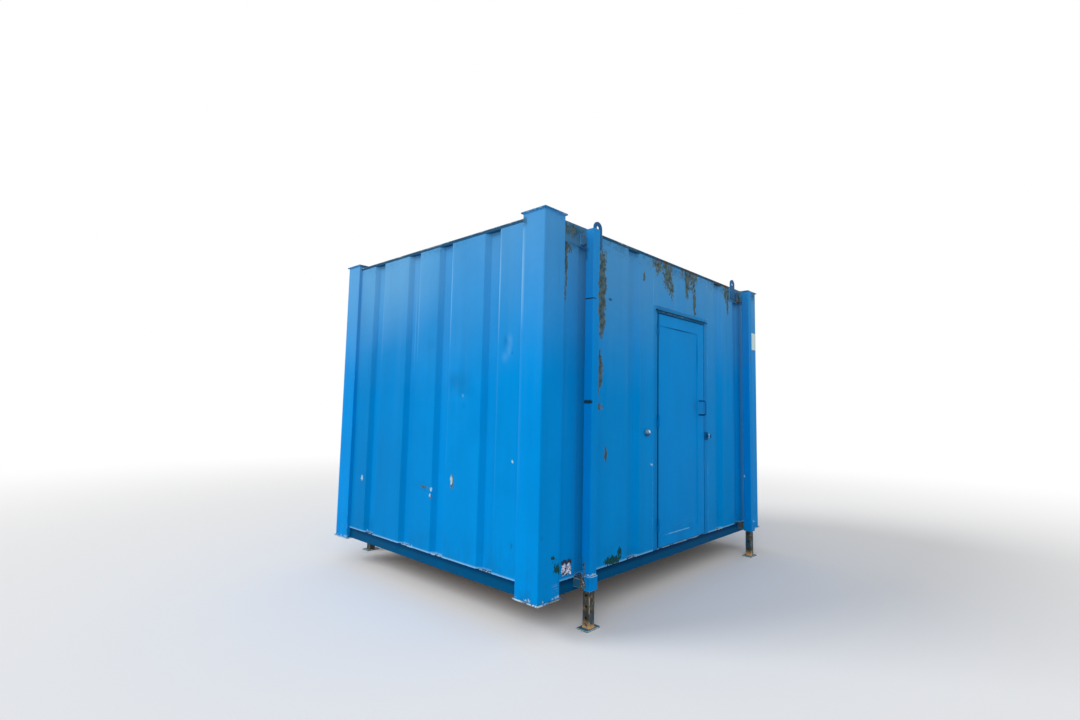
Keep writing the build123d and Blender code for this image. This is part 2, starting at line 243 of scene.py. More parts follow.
class SharedEffect:
    """A shader effect that several finishes use, built once as a node group."""

    name: ClassVar[str]
    takes: ClassVar[dict[str, str]]
    gives: ClassVar[dict[str, str]]

    @classmethod
    def tree(cls) -> bpy.types.NodeTree:
        """Build the group the first time it is asked for.

        Returns:
            The group's node tree.
        """
        made = bpy.data.node_groups.get(cls.name)
        if made is not None:
            return made
        made = bpy.data.node_groups.new(cls.name, "ShaderNodeTree")
        for direction, sockets in (("INPUT", cls.takes), ("OUTPUT", cls.gives)):
            for name, kind in sockets.items():
                kind = "NodeSocket" + kind
                made.interface.new_socket(name=name, in_out=direction, socket_type=kind)
        wiring = Wiring(made)
        entry = wiring.node("NodeGroupInput")
        results = cls.wire(wiring, entry.outputs)
        leave = wiring.node("NodeGroupOutput")
        for name, socket in results.items():
            wiring.feed(leave.inputs[name], socket)
        return made

    @classmethod
    def wire(cls, w: Wiring, given: Sockets) -> dict[str, Socket]:
        """Wire the inside of the group.

        Args:
            w: Wiring of the group.
            given: The group's inputs.

        Returns:
            The group's results by name.
        """
        raise NotImplementedError

    @classmethod
    def use(cls, w: Wiring, **values: Fed) -> Sockets:
        """Place the group in a tree.

        Args:
            w: Wiring of the tree that uses it.
            values: What feeds its inputs, with spaces written as underscores.

        Returns:
            The placed group's outputs.
        """
        made = w.node("ShaderNodeGroup", node_tree=cls.tree())
        for name, value in values.items():
            w.feed(made.inputs[name.replace("_", " ")], value)
        return made.outputs


class EdgeGap(SharedEffect):
    """How far a point of a boxy piece is from the nearest of its box's edges, in metres."""

    name = "edge_gap"
    takes = {"Low": "Vector", "High": "Vector", "Fold": "Vector"}
    gives = {"Gap": "Float"}

    @classmethod
    def wire(cls, w: Wiring, given: Sockets) -> dict[str, Socket]:
        """Take the middle one of the three distances to the box's faces.

        Args:
            w: Wiring of the group.
            given: The group's inputs.

        Returns:
            The group's results by name.
        """
        place = w.place()
        folded = w.vector("MULTIPLY", w.vector("ABSOLUTE", place), given["Fold"])
        kept = w.vector("MULTIPLY", place, w.vector("SUBTRACT", (1.0, 1.0, 1.0), given["Fold"]))
        place = w.vector("ADD", folded, kept)
        low = w.vector("SUBTRACT", place, given["Low"])
        high = w.vector("SUBTRACT", given["High"], place)
        depth = w.vector("MAXIMUM", w.vector("MINIMUM", low, high), (0.0, 0.0, 0.0))
        x, y, z = w.node("ShaderNodeSeparateXYZ", {0: depth}).outputs
        lesser, greater = w.smaller(x, y), w.larger(x, y)
        return {"Gap": w.larger(lesser, w.smaller(greater, z))}


class PaintCoat:
    """A coat of site paint, wired one layer of wear over the other."""

    def __init__(self, w: Wiring, given: Sockets) -> None:
        """Start from the plain paint and the noises that several layers read.

        Args:
            w: Wiring of the group.
            given: The group's inputs.
        """
        self.w, self.given = w, given
        self.place = w.place()
        self.height = w.axis(self.place, 2)
        self.cloud = w.mottle(self.place, 2.6, 5)
        self.ragged = w.mottle(self.place, 46.0, 7)
        coarse = w.mottle(self.place, 17.0, 3, (1.0, 1.0, 0.4))
        fine = w.mottle(self.place, 66.0, 5, (1.0, 1.0, 0.6))
        self.tear = w.times(w.less(w.plus(coarse, fine), 1.0), 2.4)
        self.marked = {mark: w.painted(mark.value) for mark in Mark}
        self.colour: Socket = given["Paint"]

    def lay(self, mask: Fed, colour: Fed) -> None:
        """Lay a colour over the coat where the mask shows it."""
        self.colour = self.w.blend(mask, self.colour, colour)

    def torn(self, mark: Mark, start: float, end: float, fringe: float = 0.2) -> Socket:
        """Give a mark a torn edge.

        Args:
            mark: Which kind of wear.
            start: Strength at which it begins to show.
            end: Strength at which it shows in full.
            fringe: Strength under which it thins out.

        Returns:
            Where it shows.
        """
        strength = self.marked[mark]
        shown = self.w.step(self.w.plus(strength, self.tear), start, end)
        return self.w.times(shown, self.w.step(strength, 0.0, fringe))

    def fade(self) -> None:
        """Chalk the upper part in clouds and upright streaks. The paler top is partly chalking and
        partly a painted reflection of the sky.
        """
        w, given = self.w, self.given
        aged = w.step(self.height, 0.9, 2.6)
        broad = w.times(w.less(w.mottle(self.place, 0.75, 3), 0.5), aged)
        # Paler with height: partly chalked paint, partly a painted sky reflection.
        chalk_and_sheen = w.larger(w.plus(w.step(self.height, 1.5, 3.1), broad), 0.0)
        self.lay(w.times(chalk_and_sheen, given["Fade"]), given["Faded"])
        streaks = w.step(w.mottle(self.place, 1.0, 4, (11.0, 11.0, 0.55)), 0.5, 0.78)
        self.lay(w.times(w.times(streaks, aged), w.times(given["Fade"], 0.25)), given["Faded"])
        uneven = w.plus(self.cloud, w.mottle(self.place, 1.0, 3, (5.0, 5.0, 0.4)))
        tone = w.plus(0.8, w.times(uneven, 0.2))
        toned = w.node("ShaderNodeVectorMath", {0: self.colour, "Scale": tone}, operation="SCALE")
        self.colour = toned.outputs[0]

    def soil(self) -> None:
        """Let dirt run down and splash the foot."""
        w, given = self.w, self.given
        runs = w.step(w.mottle(self.place, 1.0, 5, (26.0, 26.0, 0.9)), 0.58, 0.8)
        self.lay(w.times(runs, w.times(given["Dirt"], 0.4)), given["Soil"])
        splash = w.step(w.mottle(self.place, 7.0, 7), 0.42, 0.68)
        splash = w.times(w.times(w.step(self.height, 0.62, 0.26), splash), given["Dirt"])
        self.lay(w.times(splash, 0.6), given["Soil"])

    def chip(self) -> Socket:
        """Chip the paint along the box's edges, here and there down to rust.

        Returns:
            Where it is chipped.
        """
        w, given = self.w, self.given
        gap = EdgeGap.use(w, Low=given["Low"], High=given["High"], Fold=given["Fold"])["Gap"]
        patchy = w.step(w.mottle(self.place, 3.6, 4), 0.44, 0.66)
        patchy = w.smaller(w.plus(patchy, w.step(self.height, 0.42, 0.32)), 1.0)
        bite = w.times(w.larger(w.less(self.ragged, 0.36), 0.0), 4.0)
        reach = w.times(w.times(bite, patchy), given["Chips"])
        chipped = w.step(gap, w.plus(reach, 0.0002), w.times(reach, 0.8))
        bare = w.step(gap, w.times(reach, 0.6), w.times(reach, 0.45))
        rusting = w.step(w.mottle(self.place, 9.0, 4), 0.45, 0.62)
        self.lay(chipped, given["Edge"])
        self.lay(w.times(bare, rusting), given["Rust"])
        return chipped

    def tint(self) -> None:
        """Paint shade where marked as painted shade, paint highlights where marked as painted
        highlight, and dull grimy places.
        """
        w, grime = self.w, self.marked[Mark.GRIME]
        # Painted shade: blend towards dark blue.
        self.lay(w.smaller(self.marked[Mark.DAMP], 0.9), shade(0, 38, 78))
        # Painted highlight: blend towards pale blue.
        self.lay(w.smaller(self.marked[Mark.POLISH], 0.85), shade(150, 206, 238))
        specked = w.step(w.plus(w.mottle(self.place, 34.0, 9), w.times(grime, 0.3)), 0.5, 0.8)
        dull = w.times(grime, w.plus(0.06, w.times(specked, 0.7)))
        self.lay(w.smaller(dull, 1.0), self.given["Soil"])

    def peel(self) -> tuple[Socket, Socket]:
        """Peel the paint to its primer, with a lifted rim.

        Returns:
            Where it is gone, and where it is lifted.
        """
        w, given = self.w, self.given
        peeled = self.torn(Mark.PEEL, 0.5, 0.53, 0.15)
        lifted = self.torn(Mark.PEEL, 0.42, 0.49, 0.15)
        stained = w.step(w.mottle(self.place, 24.0, 6), 0.42, 0.6)
        under = w.blend(stained, given["Primer"], shade(54, 72, 68))
        rusty = w.times(w.step(w.mottle(self.place, 75.0, 4), 0.56, 0.7), 0.6)
        under = w.blend(rusty, under, given["Rust"])
        self.lay(w.times(lifted, 0.5), given["Faded"])
        self.lay(w.times(peeled, w.plus(0.62, w.times(self.ragged, 0.6))), under)
        return peeled, lifted

    def rust(self) -> Socket:
        """Rust the marked places.

        Returns:
            Where they are rusted.
        """
        w = self.w
        rusted = self.torn(Mark.RUST, 0.42, 0.66)
        deep = w.step(w.mottle(self.place, 70.0, 4), 0.35, 0.7)
        self.lay(rusted, w.blend(deep, self.given["Rust"], shade(58, 40, 30)))
        return rusted

    def overgrow(self) -> Socket:
        """Grow algae on the marked places.

        Returns:
            Where it grows.
        """
        w = self.w
        grown = self.torn(Mark.ALGAE, 0.45, 0.58)
        thick = w.step(w.mottle(self.place, 60.0, 5), 0.4, 0.62)
        self.lay(w.times(grown, 0.92), w.blend(thick, shade(16, 56, 44), shade(40, 74, 40)))
        return grown

    def scrape(self) -> None:
        """Draw scuffs as level scratches and strip the places marked bare."""
        w, bare = self.w, self.marked[Mark.BARE]
        lines = w.step(w.mottle(self.place, 1.0, 3, (9.0, 9.0, 170.0)), 0.54, 0.62)
        lines = w.smaller(w.times(w.times(self.marked[Mark.SCUFF], 1.6), lines), 1.0)
        stripped = w.step(w.plus(bare, w.times(self.tear, 0.8)), 0.45, 0.55)
        stripped = w.times(stripped, w.step(bare, 0.0, 0.2))
        self.lay(w.larger(lines, stripped), self.given["Edge"])

    def speck(self) -> None:
        """Dot the coat with small rust specks, in a few cells of a loose grid."""
        w = self.w
        cells = w.node("ShaderNodeTexVoronoi", {"Vector": self.place, "Scale": 17.0})
        lottery = w.node("ShaderNodeSeparateColor", {0: cells.outputs["Color"]}).outputs[0]
        dots = w.step(cells.outputs["Distance"], w.times(self.ragged, 0.14), 0.02)
        dots = w.times(dots, w.math("LESS_THAN", lottery, self.given["Specks"]))
        self.lay(w.times(dots, 0.85), self.given["Rust"])


class WornPaint(SharedEffect):
    """Site paint on steel: chalked, streaked, chipped at edges, peeled and rusted where marked, with
    painted shade, painted highlights and a paler top that is partly a painted sky reflection.
    """

    name = "worn_paint"
    takes = {
        "Paint": "Color", "Faded": "Color", "Edge": "Color", "Primer": "Color", "Rust": "Color",
        "Soil": "Color", "Low": "Vector", "High": "Vector", "Fold": "Vector",
        "Chips": "Float", "Fade": "Float", "Dirt": "Float", "Specks": "Float",
    }
    gives = {"Color": "Color", "Roughness": "Float", "Height": "Float"}

    @classmethod
    def wire(cls, w: Wiring, given: Sockets) -> dict[str, Socket]:
        """Lay fading (partly a painted sky reflection), soil, chips, painted shade and highlights,
        grime, peeling, rust, algae, scuffs and specks over the paint.

        Args:
            w: Wiring of the group.
            given: The group's inputs.

        Returns:
            The group's results by name.
        """
        coat = PaintCoat(w, given)
        coat.fade()
        coat.soil()
        chipped = coat.chip()
        coat.tint()
        peeled, lifted = coat.peel()
        rusted = coat.rust()
        grown = coat.overgrow()
        coat.scrape()
        coat.speck()
        gone = w.larger(chipped, peeled)
        broken = w.larger(gone, w.larger(rusted, grown))
        sheen = w.plus(0.3, w.times(coat.cloud, 0.22))
        rough = w.plus(sheen, w.times(broken, 0.42))
        grit = w.times(w.times(broken, coat.ragged), 0.9)
        film = w.plus(w.less(1.0, w.times(gone, 0.8)), w.times(lifted, 0.25))
        skin = w.times(w.mottle(coat.place, 150.0, 3), 0.12)
        height = w.plus(w.plus(film, skin), grit)
        return {"Color": coat.colour, "Roughness": rough, "Height": height}


class Corrosion(SharedEffect):
    """Rusted steel with pits, brighter blooms and the last of its paint."""

    name = "corrosion"
    takes = {
        "Dark": "Color", "Brown": "Color", "Bloom": "Color", "Paint": "Color", "Edge": "Color",
        "Left": "Float", "Foot": "Float", "Low": "Vector", "High": "Vector", "Rub": "Float",
    }
    gives = {"Color": "Color", "Roughness": "Float", "Height": "Float"}

    @classmethod
    def wire(cls, w: Wiring, given: Sockets) -> dict[str, Socket]:
        """Mix three rust tones by noise, brighten the foot and leave some paint in patches.

        Args:
            w: Wiring of the group.
            given: The group's inputs.

        Returns:
            The group's results by name.
        """
        place = w.place()
        height = w.axis(place, 2)
        coarse = w.mottle(place, 19.0, 7)
        fine = w.mottle(place, 130.0, 5)
        colour = w.blend(w.step(coarse, 0.38, 0.62), given["Dark"], given["Brown"])
        bloom = w.times(w.step(w.mottle(place, 34.0, 6), 0.5, 0.68), 0.22)
        low = w.times(w.step(height, w.plus(given["Foot"], 0.07), given["Foot"]), 0.95)
        colour = w.blend(w.smaller(w.plus(bloom, low), 1.0), colour, given["Bloom"])
        colour = w.blend(w.times(w.step(fine, 0.5, 0.75), 0.5), colour, given["Dark"])
        left = w.step(w.plus(w.mottle(place, 11.0, 7), given["Left"]), 0.98, 1.02)
        colour = w.blend(left, colour, given["Paint"])
        gap = EdgeGap.use(w, Low=given["Low"], High=given["High"], Fold=(0.0, 0.0, 0.0))["Gap"]
        rub = w.less(w.mottle(place, 28.0, 5), 0.3)
        rub = w.times(rub, w.times(given["Rub"], 4.0))
        colour = w.blend(w.step(gap, rub, w.times(rub, 0.6)), colour, given["Edge"])
        pits = w.plus(w.times(fine, 0.6), w.times(coarse, 0.8))
        rough = w.less(0.86, w.times(left, 0.35))
        relief = w.plus(pits, w.times(left, 0.5))
        return {"Color": colour, "Roughness": rough, "Height": relief}


class BoardGrain(SharedEffect):
    """Board laid in sheets: grain along X, scuffed and dark at the joints."""

    name = "board_grain"
    takes = {
        "Light": "Color", "Dark": "Color", "Dirt": "Color",
        "Grain": "Float", "Wear": "Float", "Sheet": "Float",
    }
    gives = {"Color": "Color", "Roughness": "Float", "Height": "Float"}

    @classmethod
    def wire(cls, w: Wiring, given: Sockets) -> dict[str, Socket]:
        """Take the grain from stretched noise and the joints from the nearest sheet edge.

        Args:
            w: Wiring of the group.
            given: The group's inputs.

        Returns:
            The group's results by name.
        """
        place = w.place()
        rings = w.mottle(place, 1.0, 6, (2.2, 34.0, 34.0))
        pores = w.mottle(place, 1.0, 4, (16.0, 420.0, 420.0))
        grain = w.times(w.step(rings, 0.35, 0.68), given["Grain"])
        colour = w.blend(grain, given["Light"], given["Dark"])
        colour = w.blend(w.times(w.step(pores, 0.6, 0.75), given["Grain"]), colour, given["Dark"])
        dirt = w.times(w.step(w.mottle(place, 2.4, 8), 0.45, 0.72), given["Wear"])
        colour = w.blend(dirt, colour, given["Dirt"])
        x = w.axis(place, 0)
        joint = w.math("PINGPONG", w.plus(x, 0.1), w.times(given["Sheet"], 0.5))
        line = w.step(joint, 0.004, 0.0015)
        colour = w.blend(w.times(line, 0.85), colour, given["Dirt"])
        rough = w.plus(0.5, w.times(dirt, 0.3))
        relief = w.less(w.times(pores, given["Grain"]), line)
        return {"Color": colour, "Roughness": rough, "Height": relief}


class SettledDust(SharedEffect):
    """Pale dust and dried puddle rims on what faces up."""

    name = "settled_dust"
    takes = {"Color": "Color", "Dust": "Color", "Amount": "Float"}
    gives = {"Color": "Color"}

    @classmethod
    def wire(cls, w: Wiring, given: Sockets) -> dict[str, Socket]:
        """Lay dust in patches where the surface points up.

        Args:
            w: Wiring of the group.
            given: The group's inputs.

        Returns:
            The group's results by name.
        """
        place = w.place()
        facing = w.node("ShaderNodeNewGeometry").outputs["True Normal"]
        upward = w.step(w.axis(facing, 2), 0.6, 0.95)
        patch = w.mottle(place, 1.4, 8)
        grit = w.times(w.mottle(place, 26.0, 5), 0.5)
        rim = w.less(w.step(patch, 0.50, 0.52), w.step(patch, 0.52, 0.60))
        lie = w.plus(w.times(w.step(patch, 0.22, 0.78), 0.55), w.times(rim, 0.08))
        lie = w.plus(lie, grit)
        amount = w.times(w.times(lie, upward), given["Amount"])
        return {"Color": w.blend(amount, given["Color"], given["Dust"])}


# --------------------------------------------------------------------------- finishes


@dataclass(frozen=True)
class EdgeBox:
    """The box whose edges get chipped. Folded axes are mirrored about the middle first."""

    low: Point
    high: Point
    fold: Point = (0.0, 0.0, 0.0)

    @classmethod
    def around(cls, node: str) -> "EdgeBox":
        """Return the box of one CAD node."""
        low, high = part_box(node)
        return cls(tuple(low), tuple(high))

    @classmethod
    def in_quarter(cls, node: str, wide: float, deep: float) -> "EdgeBox":
        """Box one solid of a CAD node that has one in each quarter of the plan.

        Args:
            node: Name of the node.
            wide: The solid's size along X.
            deep: Its size along Y.

        Returns:
            The box in the far back quarter, with X and Y folded onto it.
        """
        low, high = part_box(node)
        return cls((high.x - wide, high.y - deep, low.z), tuple(high), (1.0, 1.0, 0.0))


NO_EDGES = EdgeBox((-9.0, -9.0, -9.0), (9.0, 9.0, 9.0))


class Finish:
    """A finish makes the material of one piece."""

    name: str

    def material(self, piece: str, edges: EdgeBox) -> bpy.types.Material:
        """Make this finish's material for a piece.

        Args:
            piece: Name of the piece.
            edges: The box whose edges wear.

        Returns:
            The material.
        """
        made = bpy.data.materials.new(f"{self.name}_{piece}")
        made.use_nodes = True
        made.node_tree.nodes.clear()
        wiring = Wiring(made.node_tree)
        shader = wiring.node("ShaderNodeBsdfPrincipled")
        output = wiring.node("ShaderNodeOutputMaterial")
        wiring.feed(output.inputs["Surface"], shader.outputs[0])
        self.dress(wiring, shader, edges)
        return made

    def dress(self, w: Wiring, shader: bpy.types.Node, edges: EdgeBox) -> None:
        """Wire the finish into its shader.

        Args:
            w: Wiring of the material.
            shader: The shader node.
            edges: The box whose edges wear.
        """
        raise NotImplementedError

    @staticmethod
    def relief(
        w: Wiring, shader: bpy.types.Node, height: Socket, depth: float, strength: float
    ) -> None:
        """Turn a height into the shader's normal.

        Args:
            w: Wiring of the material.
            shader: The shader node.
            height: The height.
            depth: Distance that a height of one stands for.
            strength: How much of it shows.
        """
        inputs = {"Height": height, "Distance": depth, "Strength": strength}
        w.feed(shader.inputs["Normal"], w.node("ShaderNodeBump", inputs).outputs[0])


@dataclass(frozen=True)
class Paint(Finish):
    """Worn gloss paint over primer."""

    name: str
    paint: Colour
    faded: Colour
    edge: Colour = shade(158, 192, 208)
    primer: Colour = shade(86, 100, 96)
    rust: Colour = shade(110, 92, 66)
    soil: Colour = shade(26, 58, 72)
    chips: float = 0.006
    # How far the paint pales with height: partly chalking, partly a painted sky reflection.
    fade: float = 0.5
    dirt: float = 0.35
    specks: float = 0.03
    dust: float = 0.0
    dust_tone: Colour = shade(134, 138, 136)
    gloss: float = 0.02
    sheen: Colour = shade(60, 170, 255)

    def dress(self, w: Wiring, shader: bpy.types.Node, edges: EdgeBox) -> None:
        """Place the worn paint group, and dust over it where the piece lies open to the sky.

        Args:
            w: Wiring of the material.
            shader: The shader node.
            edges: The box whose edges wear.
        """
        worn = WornPaint.use(
            w, Paint=self.paint, Faded=self.faded, Edge=self.edge, Primer=self.primer,
            Rust=self.rust, Soil=self.soil, Low=edges.low, High=edges.high, Fold=edges.fold,
            Chips=self.chips, Fade=self.fade, Dirt=self.dirt, Specks=self.specks,
        )
        colour = worn["Color"]
        if self.dust:
            dusty = SettledDust.use(w, Color=colour, Dust=self.dust_tone, Amount=self.dust)
            colour = dusty["Color"]
        w.feed(shader.inputs["Base Color"], colour)
        w.feed(shader.inputs["Roughness"], worn["Roughness"])
        shader.inputs["Specular IOR Level"].default_value = self.gloss
        shader.inputs["Specular Tint"].default_value = self.sheen
        self.relief(w, shader, worn["Height"], 0.0006, 0.5)


@dataclass(frozen=True)
class RustedSteel(Finish):
    """Bare steel that has rusted, with some paint left on it."""

    name: str
    dark: Colour = shade(36, 32, 30)
    brown: Colour = shade(72, 56, 44)
    bloom: Colour = shade(206, 140, 76)
    paint: Colour = shade(20, 62, 82)
    edge: Colour = shade(150, 138, 112)
    left: float = 0.46
    foot: float = 0.0
    rub: float = 0.003

    def dress(self, w: Wiring, shader: bpy.types.Node, edges: EdgeBox) -> None:
        """Place the corrosion group.

        Args:
            w: Wiring of the material.
            shader: The shader node.
            edges: The box whose edges wear.
        """
        rusted = Corrosion.use(
            w, Dark=self.dark, Brown=self.brown, Bloom=self.bloom, Paint=self.paint, Edge=self.edge,
            Left=self.left, Foot=self.foot, Low=edges.low, High=edges.high, Rub=self.rub,
        )
        w.feed(shader.inputs["Base Color"], rusted["Color"])
        w.feed(shader.inputs["Roughness"], rusted["Roughness"])
        self.relief(w, shader, rusted["Height"], 0.0009, 0.6)


@dataclass(frozen=True)
class Board(Finish):
    """Plywood or painted board."""

    name: str
    light: Colour
    dark: Colour
    dirt: Colour
    grain: float
    wear: float
    sheet: float = 1.22

    def dress(self, w: Wiring, shader: bpy.types.Node, edges: EdgeBox) -> None:
        """Place the board group.

        Args:
            w: Wiring of the material.
            shader: The shader node.
            edges: The box whose edges wear; not used.
        """
        board = BoardGrain.use(
            w, Light=self.light, Dark=self.dark, Dirt=self.dirt, Grain=self.grain,
            Wear=self.wear, Sheet=self.sheet,
        )
        w.feed(shader.inputs["Base Color"], board["Color"])
        w.feed(shader.inputs["Roughness"], board["Roughness"])
        self.relief(w, shader, board["Height"], 0.0005, 0.4)


@dataclass(frozen=True)
class PlainLabel(Finish):
    """A blank film or paper label, stained and torn through in places."""

    name: str
    film: Colour
    stain: Colour
    amount: float

    def dress(self, w: Wiring, shader: bpy.types.Node, edges: EdgeBox) -> None:
        """Stain the film in blotches.

        Args:
            w: Wiring of the material.
            shader: The shader node.
            edges: The box whose edges wear.
        """
        place = w.place()
        height = w.axis(place, 2)
        middle = (edges.low[2] + edges.high[2]) / 2
        upper = w.times(w.step(height, middle, edges.high[2]), self.amount * 3.0)
        blotch = w.plus(w.mottle(place, 30.0, 7), upper)
        blotch = w.step(blotch, 0.62 - self.amount, 0.72 - self.amount)
        colour = w.blend(blotch, self.film, self.stain)
        spots = w.times(w.step(w.mottle(place, 90.0, 5), 0.46, 0.6), self.amount * 9.0)
        colour = w.blend(spots, colour, self.stain)
        w.feed(shader.inputs["Base Color"], colour)
        w.feed(shader.inputs["Roughness"], w.plus(0.45, w.times(blotch, 0.35)))
        self.relief(w, shader, w.mottle(place, 60.0, 4), 0.0004, 0.3)


BLUE = shade(0, 134, 207)
# Faded blue: chalked paint, and in the paler upper walls a painted sky reflection.
BLUE_FADED = shade(104, 154, 190)
WALL_PAINT = Paint("wall_paint", BLUE, BLUE_FADED, chips=0.0012)
POST_PAINT = Paint("post_paint", shade(0, 136, 212), BLUE_FADED, chips=0.0014)
# Its light blue edge colour also draws the painted highlight along the foot of the leaf's pan.
DOOR_PAINT = Paint(
    "door_paint", shade(0, 134, 210), shade(54, 142, 190), chips=0.001, fade=0.3,
    edge=shade(96, 170, 214),
)
FRAME_PAINT = Paint("door_frame_paint", shade(0, 130, 204), shade(80, 146, 188), chips=0.001)
# Sill rail paint, darker than the walls as painted shade for the dim space under the cabin.
RAIL_PAINT_SHADED = Paint(
    "rail_paint", shade(0, 78, 122), shade(30, 96, 140), chips=0.0008, dirt=0.25, specks=0.02
)
ROOF_RAIL_PAINT = Paint(
    "roof_rail_paint", shade(14, 74, 116), shade(44, 86, 112), chips=0.008, dirt=1.0, specks=0.2,
    edge=shade(126, 118, 88), rust=shade(98, 78, 52), soil=shade(72, 70, 52),
)
PLATE_PAINT = Paint(
    "plate_paint", shade(10, 106, 168), shade(62, 126, 172), chips=0.010, dirt=0.6, specks=0.12,
    edge=shade(178, 204, 214), rust=shade(104, 84, 62), soil=shade(64, 68, 58),
)
ROOF_PAINT = Paint(
    "roof_paint", shade(48, 92, 128), shade(92, 126, 150), chips=0.008, specks=0.1, dust=0.75
)
TUBE_PAINT = Paint("tube_paint", shade(0, 131, 208), shade(80, 144, 186), chips=0.0012, fade=0.3)
BRACKET_PAINT = Paint(
    "bracket_paint", shade(22, 96, 150), shade(84, 132, 162), chips=0.003, specks=0.2,
    dirt=0.8, fade=0.8,
)
LUG_PAINT = Paint("lug_paint", shade(22, 90, 144), shade(60, 108, 150), chips=0.002, specks=0.1)
HANDLE_PAINT = Paint(
    "handle_paint", shade(8, 112, 174), shade(60, 140, 184), chips=0.001, specks=0.2
)
# Drip strip paint, dark: partly rusty paint, partly painted shade of the gap under the strip.
DRIP_PAINT_SHADED = Paint(
    "drip_paint", shade(6, 58, 88), shade(24, 70, 92), chips=0.002, specks=0.4, dirt=0.8
)
# Its pale edge colour also draws the painted highlight on the dome's top.
BUFFER_PAINT = Paint(
    "buffer_paint", shade(86, 132, 166), shade(120, 156, 180), chips=0.0, specks=0.1,
    gloss=0.5, edge=shade(222, 236, 242), sheen=shade(230, 240, 248),
)
HINGE_PAINT = Paint("hinge_paint", shade(0, 112, 180), shade(50, 126, 176), chips=0.001, specks=0.3)
JOIST_PRIMER = Paint(
    "joist_primer", shade(72, 60, 56), shade(92, 80, 74), chips=0.004, specks=0.4, dirt=0.8,
    edge=shade(110, 92, 80),
)
LEG_RUST = RustedSteel(
    "leg_rust", dark=shade(34, 40, 42), brown=shade(66, 66, 56), bloom=shade(226, 178, 116),
    edge=shade(186, 180, 150), left=0.47,
)
# Rust for the back legs: a darker copy as painted shade.
LEG_RUST_SHADED = RustedSteel(
    "leg_rust_dark", dark=shade(32, 38, 42), brown=shade(58, 60, 56), bloom=shade(96, 86, 70),
    edge=shade(120, 118, 106), left=0.47,
)
FOOT_RUST = RustedSteel(
    "foot_rust", brown=shade(96, 98, 90), bloom=shade(120, 128, 122), paint=shade(48, 112, 138),
    edge=shade(176, 190, 190), left=0.57, rub=0.004,
)
BRACKET_RUST = RustedSteel(
    "bracket_rust", dark=shade(40, 44, 44), brown=shade(92, 84, 66), bloom=shade(150, 156, 132),
    paint=shade(20, 88, 122), edge=shade(150, 176, 176), left=0.54, foot=-1.0,
)
# Its pale edge colour also draws the painted highlight on the staple's eye.
STAPLE_PAINT = Paint(
    "staple_paint", shade(10, 82, 134), shade(36, 100, 144), chips=0.0008, specks=0.3,
    edge=shade(150, 190, 214),
)
THRESHOLD_STEEL = RustedSteel(
    "threshold_steel", brown=shade(104, 96, 88), bloom=shade(140, 134, 126), left=0.3, foot=-1.0
)
DECK_PLY = Board(
    "deck_ply", shade(146, 112, 74), shade(104, 74, 46), shade(70, 60, 50), grain=0.8, wear=0.7
)
LINING_BOARD = Board(
    "lining_board", shade(206, 204, 194), shade(192, 190, 180), shade(150, 146, 134),
    grain=0.15, wear=0.3,
)
CEILING_BOARD = Board(
    "ceiling_board", shade(216, 214, 206), shade(204, 202, 194), shade(158, 152, 140),
    grain=0.12, wear=0.25,
)


# --------------------------------------------------------------------------- wear marks


@dataclass(frozen=True)
class Patch:
    """One patch of wear or of painted shade or highlight, as an ellipsoid in the cabin's frame."""

    mark: Mark
    centre: Point
    radii: Point
    strength: float = 1.0


@dataclass(frozen=True)
class Dent:
    """One knock in a wall: where it is, its half-size and how deep it goes."""

    centre: Point
    radii: Point
    depth: float


def carry_marks(mesh: bpy.types.Mesh, patches: Sequence[Patch]) -> None:
    """Write how strongly each kind of wear, painted shade and painted highlight reaches each point of
    a mesh.

    Args:
        mesh: The mesh, with its places in the cabin's frame.
        patches: The patches of wear and painted light.
    """
    places = np.empty(len(mesh.vertices) * 3)
    mesh.vertices.foreach_get("co", places)
    places = places.reshape(-1, 3)
    for mark in Mark:
        worn = np.zeros(len(places))
        for patch in patches:
            if patch.mark is mark:
                reach = np.linalg.norm((places - patch.centre) / patch.radii, axis=1)
                worn = np.maximum(worn, patch.strength * np.clip(1.35 - reach, 0, 1))
        if worn.any():
            mesh.attributes.new(mark.value, "FLOAT", "POINT").data.foreach_set("value", worn)


# --------------------------------------------------------------------------- mesh making


def add_piece(
    name: str, mesh: bpy.types.Mesh, body: str, slot: Optional[str] = None
) -> bpy.types.Object:
    """Put a mesh in the scene as a piece that rides on a body.

    Args:
        name: Name of the piece.
        mesh: Its mesh, with its places in the cabin's frame.
        body: The body that it moves with.
        slot: The record's material slot, if it takes its finish from one; not used.

    Returns:
        The new object.
    """
    piece = bpy.data.objects.new(name, mesh)
    bpy.context.scene.collection.objects.link(piece)
    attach(piece, body)
    return piece


def body_of(node: str) -> str:
    """Return the body that a CAD node rides on."""
    return frame["nodes"][node]["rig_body"]


def slot_of(node: str) -> str:
    """Look up a CAD node's material slot.

    Args:
        node: Name of the node.

    Returns:
        The slot that the record gives it.

    Raises:
        ValueError: If the record has no such node.
    """
    for part in frame["record"]["subparts"]:
        if part["node"] == node:
            return part["material_slot"]
    raise ValueError(node)


def welded(node: str) -> bmesh.types.BMesh:
    """Copy a CAD node's mesh and make its flat faces whole again.

    Args:
        node: Name of the node.

    Returns:
        The copy.
    """
    made = bmesh.new()
    made.from_mesh(frame["nodes"][node].data)
    bmesh.ops.remove_doubles(made, verts=made.verts, dist=1e-5)
    flat = math.radians(0.5)
    bmesh.ops.dissolve_limit(made, angle_limit=flat, verts=made.verts, edges=made.edges)
    return made


